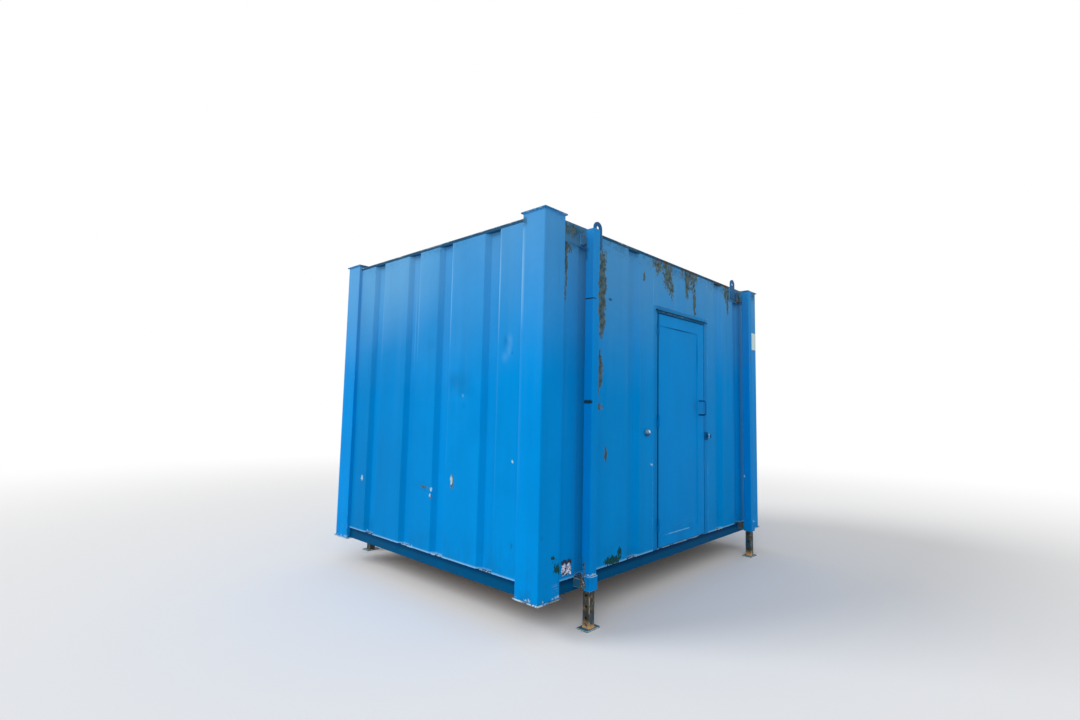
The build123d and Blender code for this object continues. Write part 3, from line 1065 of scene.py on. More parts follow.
def slice_at(mesh: bmesh.types.BMesh, axis: int, place: float) -> None:
    """Cut a mesh with one plane.

    Args:
        mesh: The mesh to cut.
        axis: 0, 1 or 2 for a cut across X, Y or Z.
        place: Where on that axis it is cut.
    """
    point, normal = Vector(), Vector()
    point[axis], normal[axis] = place, 1.0
    everything = mesh.verts[:] + mesh.edges[:] + mesh.faces[:]
    bmesh.ops.bisect_plane(mesh, geom=everything, dist=1e-6, plane_co=point, plane_no=normal)


def slice_evenly(mesh: bmesh.types.BMesh, axis: int, pitch: float) -> None:
    """Cut a mesh with parallel planes, so that it has points to carry wear.

    Args:
        mesh: The mesh to cut.
        axis: 0, 1 or 2 for cuts across X, Y or Z.
        pitch: Distance between cuts.
    """
    places = [vertex.co[axis] for vertex in mesh.verts]
    low, high = min(places), max(places)
    count = max(1, round((high - low) / pitch))
    for cut in range(1, count):
        slice_at(mesh, axis, low + (high - low) * cut / count)


def soften(piece: bpy.types.Object, width: float, segments: int = 2) -> None:
    """Round a piece's arrises and keep its flat faces flat.

    Args:
        piece: The piece.
        width: Bevel width.
        segments: Steps round each arris.
    """
    piece.data.shade_smooth()
    bevel = piece.modifiers.new("arris", "BEVEL")
    bevel.width = width
    bevel.segments = segments
    bevel.limit_method = "ANGLE"
    bevel.angle_limit = math.radians(38)
    bevel.use_clamp_overlap = True
    bevel.harden_normals = True
    weights = piece.modifiers.new("flats", "WEIGHTED_NORMAL")
    weights.keep_sharp = True
    weights.weight = 80


@dataclass
class WornCopy:
    """A CAD node dressed in steel: rounded arrises, points to carry wear, and a finish."""

    node: str
    finish: Finish
    arris: float = 0.002
    pitches: tuple[float, float, float] = (0.0, 0.0, 0.0)
    patches: Sequence[Patch] = ()
    edges: Optional[EdgeBox] = None
    cuts: Sequence[tuple[int, float]] = ()

    def build(self) -> bpy.types.Object:
        """Make the piece and let it stand for its node.

        Returns:
            The piece.
        """
        shape = welded(self.node)
        for axis, pitch in enumerate(self.pitches):
            if pitch:
                slice_evenly(shape, axis, pitch)
        for axis, place in self.cuts:
            slice_at(shape, axis, place)
        mesh = bpy.data.meshes.new(f"worn_{self.node}")
        shape.to_mesh(mesh)
        shape.free()
        carry_marks(mesh, self.patches)
        piece = add_piece(f"worn_{self.node}", mesh, body_of(self.node), slot_of(self.node))
        edges = self.edges or EdgeBox.around(self.node)
        mesh.materials.append(self.finish.material(self.node, edges))
        if self.arris:
            soften(piece, self.arris)
        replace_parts(piece, self.node)
        return piece


def tube_mesh(
    runs: Sequence[Sequence[Vector]], radius: float, sides: int,
    closed: bool = False, ripple: float = 0.0,
) -> tuple[list[Vector], list[tuple[int, ...]]]:
    """Make round tubes along runs of points.

    Args:
        runs: The points of each tube's middle line.
        radius: The tubes' radius.
        sides: Sides round a tube.
        closed: True if each run closes on itself.
        ripple: Share by which every other ring swells, as a weld does.

    Returns:
        The points and the faces.
    """
    places: list[Vector] = []
    faces: list[tuple[int, ...]] = []
    for run in runs:
        first, count = len(places), len(run)
        for index, point in enumerate(run):
            before = run[index - 1] if closed or index else point
            after = run[(index + 1) % count] if closed or index + 1 < count else point
            along = (after - before).normalized()
            aside = along.cross(Vector((0.31, 0.59, 0.74))).normalized()
            upright = along.cross(aside)
            swell = radius * (1 + ripple * (index % 2))
            for side in range(sides):
                turn = 2 * math.pi * side / sides
                places.append(point + (aside * math.cos(turn) + upright * math.sin(turn)) * swell)
        for index in range(count if closed else count - 1):
            here, there = first + index * sides, first + ((index + 1) % count) * sides
            for side in range(sides):
                turned = (side + 1) % sides
                faces.append((here + side, here + turned, there + turned, there + side))
        if not closed:
            faces.append(tuple(range(first + sides - 1, first - 1, -1)))
            faces.append(tuple(range(first + (count - 1) * sides, first + count * sides)))
    return places, faces


def mesh_from(
    name: str, places: Sequence[Vector], faces: Sequence[tuple[int, ...]]
) -> bpy.types.Mesh:
    """Make a smooth mesh with its faces turned outwards.

    Args:
        name: Name of the mesh.
        places: Its points.
        faces: Its faces, as indices of points.

    Returns:
        The mesh.
    """
    mesh = bpy.data.meshes.new(name)
    mesh.from_pydata([tuple(place) for place in places], [], faces)
    shape = bmesh.new()
    shape.from_mesh(mesh)
    bmesh.ops.recalc_face_normals(shape, faces=shape.faces)
    shape.to_mesh(mesh)
    shape.free()
    mesh.shade_smooth()
    return mesh


def stretch_of(start: Point, end: Point, pitch: float) -> list[Vector]:
    """Space points evenly on a line.

    Args:
        start: Where it starts.
        end: Where it ends.
        pitch: About how far apart they are.

    Returns:
        The points, with both ends.
    """
    start, end = Vector(start), Vector(end)
    count = max(1, round((end - start).length / pitch))
    return [start.lerp(end, index / count) for index in range(count + 1)]


def ring_of(corners: Sequence[Point], pitch: float) -> list[Vector]:
    """Space points evenly round a closed run.

    Args:
        corners: The run's corners.
        pitch: About how far apart the points are.

    Returns:
        The points, each one once.
    """
    points: list[Vector] = []
    for index, corner in enumerate(corners):
        points += stretch_of(corner, corners[(index + 1) % len(corners)], pitch)[:-1]
    return points


# --------------------------------------------------------------------------- walls


@dataclass
class PressedWall:
    """A pressed wall panel, drawn finely enough to be dented and to carry its wear."""

    node: str
    outward: Point
    across: float = 0.012
    upward: float = 0.016
    dents: Sequence[Dent] = ()
    patches: Sequence[Patch] = ()
    sway: float = 0.0016
    lining_pitch: float = 0.4

    def section(self) -> list[Vector]:
        """Read the panel's section off its foot.

        Returns:
            The corners, in order round it.
        """
        shape = welded(self.node)
        low = min(vertex.co.z for vertex in shape.verts)
        foot = [face for face in shape.faces if all(abs(v.co.z - low) < 1e-5 for v in face.verts)]
        widest = max(foot, key=lambda face: face.calc_area())
        corners = [vertex.co.copy() for vertex in widest.verts]
        shape.free()
        return corners

    def outline(self) -> tuple[np.ndarray, np.ndarray]:
        """Divide the section finely outside and coarsely on the lining.

        Returns:
            The points round the section and whether each one's next stretch is lining.
        """
        corners = self.section()
        out = Vector(self.outward)
        depth = [corner.dot(out) for corner in corners]
        lining = min(depth)
        points, inner = [], []
        for index, corner in enumerate(corners):
            after = corners[(index + 1) % len(corners)]
            is_lining = depth[index] < lining + 1e-4 and after.dot(out) < lining + 1e-4
            pitch = self.lining_pitch if is_lining else self.across
            stretch = stretch_of(corner, after, pitch)[:-1]
            points += [(point.x, point.y) for point in stretch]
            inner += [is_lining] * len(stretch)
        return np.array(points), np.array(inner)

    @staticmethod
    def waviness(along: float, up: float) -> float:
        """Return the slow waves of thin sheet at a place on the wall, about -1.5 to 1.5."""
        slow = noise.noise(Vector((along * 2.1, up * 1.3, 3.7)))
        return slow + 0.5 * noise.noise(Vector((along * 5.0, up * 3.1, 9.1)))

    def pressed_in(self, places: np.ndarray, low: np.ndarray, high: np.ndarray) -> np.ndarray:
        """Work out how far each point of the outer face is knocked inwards.

        Args:
            places: The points.
            low: Lowest corner of the panel.
            high: Highest corner of the panel.

        Returns:
            The distance for each point.
        """
        out = np.array(self.outward)
        along = 1 if abs(out[0]) > 0.5 else 0
        depth = places @ out
        outside = np.clip((depth - depth.min() - 0.02) / 0.004, 0, 1)
        edge = np.minimum(places[:, along] - low[along], high[along] - places[:, along])
        edge = np.minimum(edge, np.minimum(places[:, 2] - low[2], high[2] - places[:, 2]))
        calm = np.clip(edge / 0.06, 0, 1)
        wave = np.array([self.waviness(place[along], place[2]) for place in places])
        inwards = self.sway * calm * (0.75 - 0.5 * wave)
        for dent in self.dents:
            reach = (places - dent.centre) / dent.radii
            inwards = inwards + dent.depth * calm * np.exp(-2.2 * (reach**2).sum(axis=1))
        return inwards * outside

    def build(self) -> bpy.types.Object:
        """Make the panel.

        Returns:
            The piece.
        """
        points, inner = self.outline()
        low, high = (np.array(corner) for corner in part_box(self.node))
        rows = np.linspace(low[2], high[2], round((high[2] - low[2]) / self.upward) + 1)
        count = len(points)
        places = np.concatenate([np.column_stack([points, np.full(count, row)]) for row in rows])
        places = places - self.pressed_in(places, low, high)[:, None] * np.array(self.outward)
        faces, finishes = [], []
        for row in range(len(rows) - 1):
            for index in range(count):
                here, there = row * count, (row + 1) * count
                after = (index + 1) % count
                faces.append((here + index, here + after, there + after, there + index))
                finishes.append(int(inner[index]))
        faces.append(tuple(range(count)))
        faces.append(tuple(range((len(rows) - 1) * count, len(rows) * count)))
        mesh = mesh_from(f"worn_{self.node}", [Vector(place) for place in places], faces)
        mesh.materials.append(WALL_PAINT.material(self.node, EdgeBox.around(self.node)))
        mesh.materials.append(LINING_BOARD.material(self.node, EdgeBox.around(self.node)))
        mesh.polygons.foreach_set("material_index", finishes + [0, 0])
        mesh.set_sharp_from_angle(angle=math.radians(50))
        carry_marks(mesh, self.patches)
        piece = add_piece(f"worn_{self.node}", mesh, "cabin", slot_of(self.node))
        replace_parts(piece, self.node)
        return piece


@dataclass
class Walls:
    """The six wall panels, with the knocks and the peeled paint that each has."""

    face: float = -1.3365
    end_face: float = -1.794
    reach: float = 0.06
    coarse: tuple[float, float] = (0.022, 0.024)

    def on_front(
        self, mark: Mark, x: float, z: float, wide: float, tall: float, strength: float = 1.0
    ) -> Patch:
        """Return a patch on the door wall, from its middle and half-sizes."""
        return Patch(mark, (x, self.face, z), (wide, self.reach, tall), strength)

    def on_end(
        self, mark: Mark, y: float, z: float, wide: float, tall: float, strength: float = 1.0
    ) -> Patch:
        """Return a patch on the near end wall, from its middle and half-sizes."""
        return Patch(mark, (self.end_face, y, z), (self.reach, wide, tall), strength)

    def front_patches(self) -> list[Patch]:
        """List the wear of the door wall, with painted shade behind the jack tubes and a pale line
        along its foot.

        Returns:
            The patches.
        """
        peel, rust, algae, _, grime, bare, damp, polish = Mark
        front = self.on_front
        return [
            front(peel, -1.128, 2.44, 0.060, 0.36, 1.2),
            front(peel, -1.122, 2.26, 0.045, 0.20, 1.2),
            front(peel, -1.150, 1.77, 0.050, 0.17, 1.1),
            front(peel, -1.165, 1.53, 0.060, 0.030, 0.75),
            front(peel, -1.560, 2.55, 0.018, 0.24, 0.95),
            front(peel, -1.555, 2.665, 0.050, 0.06),
            front(peel, -1.058, 1.18, 0.022, 0.075, 0.9),
            front(grime, -1.020, 2.372, 0.030, 0.014, 1.2),
            # Painted shade on the wall strips behind the jack tubes.
            front(damp, -1.285, 1.55, 0.070, 2.60, 0.5),
            front(damp, 1.440, 1.55, 0.045, 2.60, 0.30),
            front(rust, -0.742, 1.323, 0.012, 0.012),
            front(bare, -0.400, 1.046, 0.012, 0.012, 0.8),
            # Pale line along the wall foot: partly worn paint, partly painted highlight.
            front(polish, 0.0, 0.332, 2.6, 0.005, 0.75),
            front(algae, -0.955, 0.36, 0.13, 0.035, 1.1),
            front(algae, -0.868, 0.40, 0.035, 0.055, 1.1),
            front(peel, -0.225, 2.80, 0.170, 0.06, 0.85),
            front(peel, -0.120, 2.73, 0.110, 0.13, 0.95),
            front(peel, -0.065, 2.63, 0.050, 0.15, 1.0),
            front(peel, -0.310, 2.74, 0.034, 0.05, 0.85),
            front(peel, 0.290, 2.80, 0.170, 0.07, 0.85),
            front(peel, 0.330, 2.74, 0.090, 0.13, 0.85),
            front(peel, 0.372, 2.58, 0.030, 0.18),
            front(peel, 0.225, 2.66, 0.034, 0.12, 0.9),
            front(peel, 1.090, 2.78, 0.060, 0.10, 0.78),
            front(peel, 1.125, 2.68, 0.022, 0.13, 0.85),
            front(peel, -0.520, 2.66, 0.025, 0.06, 0.8),
            front(grime, -0.8, 2.84, 0.60, 0.10, 0.5),
            front(grime, 0.0, 2.84, 0.60, 0.12, 0.6),
            front(grime, 1.0, 2.84, 0.60, 0.10, 0.6),
            front(grime, -1.48, 2.83, 0.20, 0.16, 1.1),
        ]

    def end_patches(self) -> list[Patch]:
        """List the wear of the near end wall, with painted highlights on its folds and dents, painted
        shade round the dents and towards its far end, and a pale foot line.

        Returns:
            The patches.
        """
        peel, rust, _, _, grime, bare, damp, polish = Mark
        end = self.on_end
        return [
            end(bare, -0.385, 0.930, 0.013, 0.034, 1.1),
            end(peel, -0.396, 0.915, 0.016, 0.050, 1.3),
            # Painted highlights along the recess folds, strongest near the top.
            end(polish, -0.8875, 2.46, 0.006, 0.42, 0.55),
            end(polish, -0.8875, 2.10, 0.006, 1.20, 0.05),
            end(polish, -0.3125, 2.45, 0.006, 0.42, 0.50),
            end(polish, -0.3125, 2.10, 0.006, 1.10, 0.04),
            end(polish, 0.1375, 2.40, 0.006, 0.45, 0.35),
            end(polish, 0.225, 2.35, 0.010, 0.50, 0.25),
            end(polish, 0.7125, 2.40, 0.006, 0.45, 0.25),
            end(bare, -0.128, 0.835, 0.016, 0.020, 1.1),
            end(bare, -0.120, 0.785, 0.014, 0.018),
            end(rust, -0.140, 0.775, 0.014, 0.020, 0.9),
            end(peel, -0.030, 0.838, 0.055, 0.012, 0.75),
            end(grime, -0.02, 0.84, 0.10, 0.04, 0.5),
            end(bare, 0.957, 0.815, 0.020, 0.028, 0.95),
            end(bare, -1.075, 1.128, 0.010, 0.016, 1.1),
            end(grime, -1.08, 0.56, 0.020, 0.030, 0.6),
            # Painted highlights and painted shade that draw out the dents' shape.
            end(polish, -1.010, 1.985, 0.030, 0.048, 0.12),
            end(polish, -0.990, 1.930, 0.032, 0.052, 0.12),
            end(polish, -0.962, 1.875, 0.030, 0.044, 0.09),
            end(damp, -1.040, 1.895, 0.012, 0.014, 0.30),
            end(damp, -0.962, 1.990, 0.014, 0.040, 0.18),
            end(polish, -0.490, 1.592, 0.010, 0.012, 0.45),
            end(damp, -0.43, 1.700, 0.160, 0.090, 0.17),
            end(damp, -0.55, 1.630, 0.090, 0.060, 0.10),
            end(damp, -0.52, 1.510, 0.020, 0.020, 0.16),
            # Pale line along the wall foot: partly worn paint, partly painted highlight.
            end(polish, 0.0, 0.332, 2.6, 0.005, 0.85),
            end(bare, -0.84, 0.338, 0.04, 0.010, 0.8),
            end(bare, 0.10, 0.342, 0.010, 0.022, 0.8),
            end(bare, 0.86, 0.345, 0.010, 0.026, 0.85),
            # Painted shade, darker towards the far end.
            end(damp, 1.5, 0.8, 1.6, 1.9, 0.20),
            # Painted sky reflection, paler high on the wall.
            end(polish, 0.75, 2.78, 0.90, 0.60, 0.20),
            # A faint spot of painted shade.
            end(damp, -0.06, 2.02, 0.080, 0.060, 0.10),
            end(grime, -0.1, 2.83, 0.5, 0.06, 0.4),
            end(grime, 0.8, 2.83, 0.5, 0.08, 0.3),
        ]

    def build(self) -> None:
        """Make all six panels."""
        self.build_near_end()
        self.build_door_wall()
        self.build_far_end()
        self.build_back()

    def build_near_end(self) -> None:
        """Make the near end wall, knocked in beside the post and below its middle."""
        x = self.end_face
        knocks = [
            Dent((x, -0.983, 1.93), (0.2, 0.06, 0.10), 0.018),
            Dent((x, -0.480, 1.590), (0.2, 0.05, 0.05), 0.012),
            Dent((x, -0.36, 1.655), (0.2, 0.10, 0.12), 0.014),
            Dent((x, -0.36, 0.93), (0.2, 0.12, 0.09), 0.008),
            Dent((x, 0.02, 0.84), (0.2, 0.18, 0.06), 0.006),
            Dent((x, -0.62, 1.24), (0.2, 0.20, 0.16), 0.005),
        ]
        wear = self.end_patches()
        PressedWall("left_wall", (-1.0, 0.0, 0.0), dents=knocks, patches=wear, sway=0.003).build()

    def build_door_wall(self) -> None:
        """Make the three panels of the door wall."""
        out, wear = (0.0, -1.0, 0.0), self.front_patches()
        knocks = [
            Dent((-1.13, self.face, 1.55), (0.06, 0.2, 0.16), 0.006),
            Dent((-0.55, self.face, 1.30), (0.12, 0.2, 0.25), 0.004),
        ]
        PressedWall("front_wall_left", out, dents=knocks, patches=wear).build()
        PressedWall("front_wall_right", out, patches=wear).build()
        PressedWall("front_wall_over_door", out, patches=wear, sway=0.001).build()

    def build_far_end(self) -> None:
        """Make the far end wall, drawn more coarsely."""
        x = -self.end_face
        wear = [
            Patch(Mark.RUST, (x, 0.4, 0.34), (0.05, 0.5, 0.02), 0.8),
            Patch(Mark.PEEL, (x, -0.5, 2.75), (0.05, 0.03, 0.2), 0.9),
            Patch(Mark.PEEL, (x, 0.62, 1.1), (0.05, 0.05, 0.04), 0.9),
        ]
        knocks = [Dent((x, 0.5, 1.1), (0.2, 0.12, 0.1), 0.007)]
        PressedWall("right_wall", (1.0, 0.0, 0.0), *self.coarse, knocks, wear, 0.003).build()

    def build_back(self) -> None:
        """Make the back wall, drawn more coarsely."""
        y = -self.face
        wear = [
            Patch(Mark.PEEL, (-0.9, y, 2.7), (0.03, 0.05, 0.2), 0.95),
            Patch(Mark.PEEL, (0.35, y, 2.75), (0.04, 0.05, 0.14), 0.9),
            Patch(Mark.RUST, (0.6, y, 0.345), (0.4, 0.05, 0.02), 0.8),
            Patch(Mark.ALGAE, (-1.2, y, 0.38), (0.2, 0.05, 0.06), 0.8),
        ]
        knocks = [Dent((0.1, y, 1.2), (0.15, 0.2, 0.12), 0.008)]
        PressedWall("back_wall", (0.0, 1.0, 0.0), *self.coarse, knocks, wear, 0.003).build()


# --------------------------------------------------------------------------- frame


@dataclass
class CornerFrame:
    """Corner posts, stacking plates, rails, roof and floor frame."""

    plate_side: float = 0.240
    # Where the near post is cut, beside the inner arris that carries a painted highlight.
    highlight_cut: float = -1.150
    post_patches: Sequence[Patch] = field(default_factory=lambda: [
        Patch(Mark.ALGAE, (-1.678, -1.3605, 0.500), (0.030, 0.03, 0.030), 1.0),
        Patch(Mark.ALGAE, (-1.632, -1.3605, 0.430), (0.034, 0.03, 0.046), 1.1),
        Patch(Mark.GRIME, (-1.797, -1.3605, 0.66), (0.010, 0.02, 0.028), 1.2),
        Patch(Mark.BARE, (-1.818, -1.25, 0.236), (0.03, 0.14, 0.006), 0.5),
        Patch(Mark.BARE, (-1.70, -1.3605, 0.236), (0.14, 0.03, 0.006), 0.45),
        Patch(Mark.SCUFF, (-1.65, -1.3605, 0.30), (0.025, 0.02, 0.04), 0.25),
        # Painted highlight along the near post's inner arris, fainter lower down.
        Patch(Mark.POLISH, (-1.818, -1.1455, 2.46), (0.008, 0.005, 0.45), 1.0),
        Patch(Mark.POLISH, (-1.818, -1.1455, 1.70), (0.008, 0.005, 0.95), 0.10),
        Patch(Mark.BARE, (-1.818, 1.25, 0.242), (0.03, 0.14, 0.014), 0.9),
        # Painted sky reflection, paler high on the far post's end face.
        Patch(Mark.POLISH, (-1.818, 1.25, 2.75), (0.05, 0.20, 0.70), 0.16),
        Patch(Mark.GRIME, (-1.818, -1.16, 2.83), (0.03, 0.03, 0.05), 1.0),
        Patch(Mark.GRIME, (-1.7, -1.3605, 2.885), (0.15, 0.05, 0.03), 0.6),
        Patch(Mark.GRIME, (1.7, -1.3605, 2.85), (0.15, 0.05, 0.07), 0.9),
    ])
    rail_patches: Sequence[Patch] = field(default_factory=lambda: [
        Patch(Mark.RUST, (0.62, -1.3265, 0.25), (0.06, 0.03, 0.02), 0.5),
        Patch(Mark.BARE, (-1.784, 0.0, 0.330), (0.05, 1.3, 0.006), 0.75),
        Patch(Mark.BARE, (-0.1, -1.3265, 0.330), (1.6, 0.03, 0.006), 0.85),
        # Painted shadow under the sill's top lip.
        Patch(Mark.DAMP, (-1.784, 0.0, 0.322), (0.05, 2.3, 0.026), 0.75),
        Patch(Mark.DAMP, (0.0, -1.3265, 0.322), (2.6, 0.03, 0.030), 0.9),
        Patch(Mark.BARE, (-1.403, -1.3265, 0.285), (0.004, 0.03, 0.05), 1.2),
    ])
    top_patches: Sequence[Patch] = field(default_factory=lambda: [
        Patch(Mark.RUST, (-1.50, -1.33, 2.845), (0.14, 0.05, 0.03), 0.8),
        Patch(Mark.RUST, (-0.2, -1.33, 2.845), (0.16, 0.05, 0.02), 0.85),
        Patch(Mark.RUST, (0.28, -1.33, 2.845), (0.16, 0.05, 0.02), 0.85),
        Patch(Mark.RUST, (1.0, -1.33, 2.845), (0.30, 0.05, 0.02), 0.85),
    ])

    def build(self) -> None:
        """Make the frame's pieces."""
        for corner in CORNERS:
            post = WornCopy(f"corner_post_{corner}", POST_PAINT, 0.003, (0.03, 0.03, 0.03))
            post.patches = self.post_patches
            if corner == "front_left":
                post.cuts = [(1, self.highlight_cut)]
            post.build()
        for node in ("stacking_plates_lower", "stacking_plates_upper"):
            edges = EdgeBox.in_quarter(node, self.plate_side, self.plate_side)
            WornCopy(node, PLATE_PAINT, 0.0015, edges=edges).build()
        self.build_rails()
        WornCopy("roof_sheet", ROOF_PAINT, 0.002).build()
        WornCopy("floor_joists", JOIST_PRIMER, 0.003).build()

    def build_rails(self) -> None:
        """Make the sill rails and the four roof rails."""
        sill = WornCopy("sill_rails", RAIL_PAINT_SHADED, 0.002, (0.05, 0.05, 0.012), self.rail_patches)
        sill.cuts = [(2, z) for z in (0.322, 0.326)]
        sill.build()
        for side in ("front", "back", "left", "right"):
            pitches = (0.04, 0.0, 0.0) if side in ("front", "back") else (0.0, 0.04, 0.0)
            rail = WornCopy(f"roof_rail_{side}", ROOF_RAIL_PAINT, 0.0015, pitches, self.top_patches)
            rail.build()


@dataclass
class Room:
    """What shows through the open door: the deck, the ceiling and the lined walls."""

    def build(self) -> None:
        """Make the deck and the ceiling. The walls bring their own lining."""
        WornCopy("floor_deck", DECK_PLY, 0.001).build()
        WornCopy("ceiling_panel", CEILING_BOARD, 0.001).build()


# --------------------------------------------------------------------------- door


@dataclass
class Doorway:
    """The door, its frame, and the small steel on and beside it."""

    bend_radius: float = 0.020
    bar_radius: float = 0.007
    bend_steps: int = 8
    bar_pitch: float = 0.012
    dome_rim: float = 0.008
    dome_steps: int = 9
    dome_sides: int = 36

    def build(self) -> None:
        """Make the door set."""
        self.build_frame()
        self.build_leaf()
        self.build_handle()
        self.build_buffer()

    def build_frame(self) -> None:
        """Make the jambs, the head, the stops and the threshold."""
        # Painted shade in the gap on the hinge side.
        hinge_gap = [Patch(Mark.DAMP, (-0.301, -1.3365, 1.35), (0.007, 0.10, 3.0), 0.9)]
        for node in ("door_jamb_left", "door_head", "door_stops"):
            WornCopy(node, FRAME_PAINT, 0.0015, (0.0, 0.0, 0.05), hinge_gap).build()
        low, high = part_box("door_jamb_right")
        # Painted shade in the gap on the lock side.
        shadow = [Patch(Mark.DAMP, (low.x, low.y, (low.z + high.z) / 2), (0.004, 0.10, 3.0), 0.25)]
        jamb = WornCopy("door_jamb_right", FRAME_PAINT, 0.0015, (0.0, 0.0, 0.05), shadow)
        jamb.cuts = [(0, low.x + 0.003)]
        jamb.build()
        WornCopy("door_threshold", THRESHOLD_STEEL, 0.001).build()

    def build_leaf(self) -> None:
        """Make the leaf with its hinges, the drip strip over it and the lock staple beside it."""
        leaf_marks = [
            Patch(Mark.RUST, (-0.26, -1.336, 0.345), (0.05, 0.03, 0.02), 0.8),
            Patch(Mark.GRIME, (0.40, -1.336, 1.54), (0.05, 0.03, 0.09), 0.5),
            Patch(Mark.SCUFF, (0.2, -1.33, 0.50), (0.20, 0.03, 0.06), 0.1),
            # Painted highlight along the upward-facing foot slope of the pan.
            Patch(Mark.BARE, (0.077, -1.333, 0.432), (0.30, 0.03, 0.002), 2.6),
            # Painted shade in the hinge gap, on the pan's downward-facing head slope and along its
            # right fold.
            Patch(Mark.DAMP, (-0.294, -1.3365, 1.35), (0.004, 0.10, 3.0), 0.8),
            Patch(Mark.DAMP, (0.077, -1.333, 2.256), (0.27, 0.03, 0.004), 0.9),
            Patch(Mark.DAMP, (0.431, -1.333, 2.04), (0.004, 0.03, 0.16), 0.6),
        ]
        leaf = WornCopy("door_leaf", DOOR_PAINT, 0.001, (0.04, 0.0, 0.04), leaf_marks)
        leaf.cuts = [(2, z) for z in (0.427, 0.430, 0.434, 0.437, 2.250, 2.254, 2.258, 2.262)]
        leaf.cuts += [(0, x) for x in (-0.290, 0.425, 0.429, 0.433, 0.437)]
        leaf.build()
        for node in ("hinge_barrels_fixed", "hinge_barrels_leaf"):
            WornCopy(node, HINGE_PAINT, 0.0006).build()
        drip_marks = [Patch(Mark.RUST, (-0.34, -1.35, 2.52), (0.04, 0.05, 0.03), 1.0)]
        WornCopy("drip_strip", DRIP_PAINT_SHADED, 0.0008, (0.02, 0.0, 0.0), drip_marks).build()
        # Painted highlight on the near limb of the staple's eye, drawn as bare metal.
        painted_glint = [Patch(Mark.BARE, (0.602, -1.372, 1.272), (0.020, 0.009, 0.024), 1.2)]
        WornCopy("lock_staple", STAPLE_PAINT, 0.0008, (0.0, 0.006, 0.006), painted_glint).build()

    def build_handle(self) -> None:
        """Make the pull handle as one bent bar."""
        low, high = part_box("door_handle")
        x = (low.x + high.x) / 2
        front, back = low.y + self.bar_radius, high.y
        foot, head = low.z + self.bar_radius, high.z - self.bar_radius
        bend, pitch = self.bend_radius, self.bar_pitch
        turns = [math.pi / 2 * step / self.bend_steps for step in range(1, self.bend_steps + 1)]
        lower = Vector((x, front + bend, foot + bend))
        upper = Vector((x, front + bend, head - bend))
        run = stretch_of((x, back, foot), (x, front + bend, foot), pitch)
        run += [lower + Vector((0, -math.sin(turn), -math.cos(turn))) * bend for turn in turns]
        run += stretch_of(run[-1], (x, front, head - bend), pitch)[1:]
        run += [upper + Vector((0, -math.cos(turn), math.sin(turn))) * bend for turn in turns]
        run += stretch_of(run[-1], (x, back, head), pitch)[1:]
        places, faces = tube_mesh([run], self.bar_radius, 18)
        mesh = mesh_from("bent_handle", places, faces)
        # Painted shade on the handle's legs, heavier on the lower one.
        legs = [
            Patch(Mark.DAMP, (x, (front + back) / 2, foot), (0.02, 0.08, 0.012), 0.9),
            Patch(Mark.DAMP, (x, (front + back) / 2, head), (0.02, 0.08, 0.008), 0.35),
        ]
        carry_marks(mesh, legs)
        mesh.materials.append(HANDLE_PAINT.material("handle", EdgeBox.around("door_handle")))
        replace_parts(add_piece("bent_handle", mesh, "door", slot_of("door_handle")), "door_handle")

    def build_buffer(self) -> None:
        """Make the buffer as a turned dome with a rim."""
        low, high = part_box("door_buffer")
        middle = (low + high) / 2
        radius, reach, rim = (high.x - low.x) / 2, high.y - low.y, self.dome_rim
        profile = [(radius, 0.0), (radius, rim * 0.8), (radius * 0.97, rim)]
        for step in range(1, self.dome_steps):
            rise = math.pi / 2 * step / self.dome_steps
            profile.append((radius * 0.93 * math.cos(rise), rim + (reach - rim) * math.sin(rise)))
        sides = self.dome_sides
        back = Vector((middle.x, high.y, middle.z))
        turns = [2 * math.pi * side / sides for side in range(sides)]
        places = [
            back + Vector((across * math.cos(turn), -out, across * math.sin(turn)))
            for across, out in profile for turn in turns
        ]
        faces: list[tuple[int, ...]] = [tuple(range(sides))]
        for here in range(0, (len(profile) - 1) * sides, sides):
            there = here + sides
            for side in range(sides):
                after = (side + 1) % sides
                faces.append((here + side, here + after, there + after, there + side))
        last, top = len(places) - sides, len(places)
        places.append(Vector((middle.x, low.y, middle.z)))
        faces += [(last + side, last + (side + 1) % sides, top) for side in range(sides)]
        mesh = mesh_from("domed_buffer", places, faces)
        rusty = Patch(Mark.RUST, (middle.x, high.y, low.z + 0.010), (0.04, 0.018, 0.014), 0.95)
        # Painted shade on the dome's underside.
        shaded = Patch(Mark.DAMP, (middle.x, middle.y, low.z), (0.06, 0.06, 0.026), 1.2)
        # Painted highlight on the dome's top.
        painted_glint = Patch(Mark.BARE, (middle.x, low.y, middle.z + 0.010), (0.014, 0.020, 0.012), 1.6)
        carry_marks(mesh, [rusty, shaded, painted_glint])
        mesh.materials.append(BUFFER_PAINT.material("buffer", EdgeBox.around("door_buffer")))
        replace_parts(add_piece("domed_buffer", mesh, "cabin", slot_of("door_buffer")), "door_buffer")


# --------------------------------------------------------------------------- lifting gear


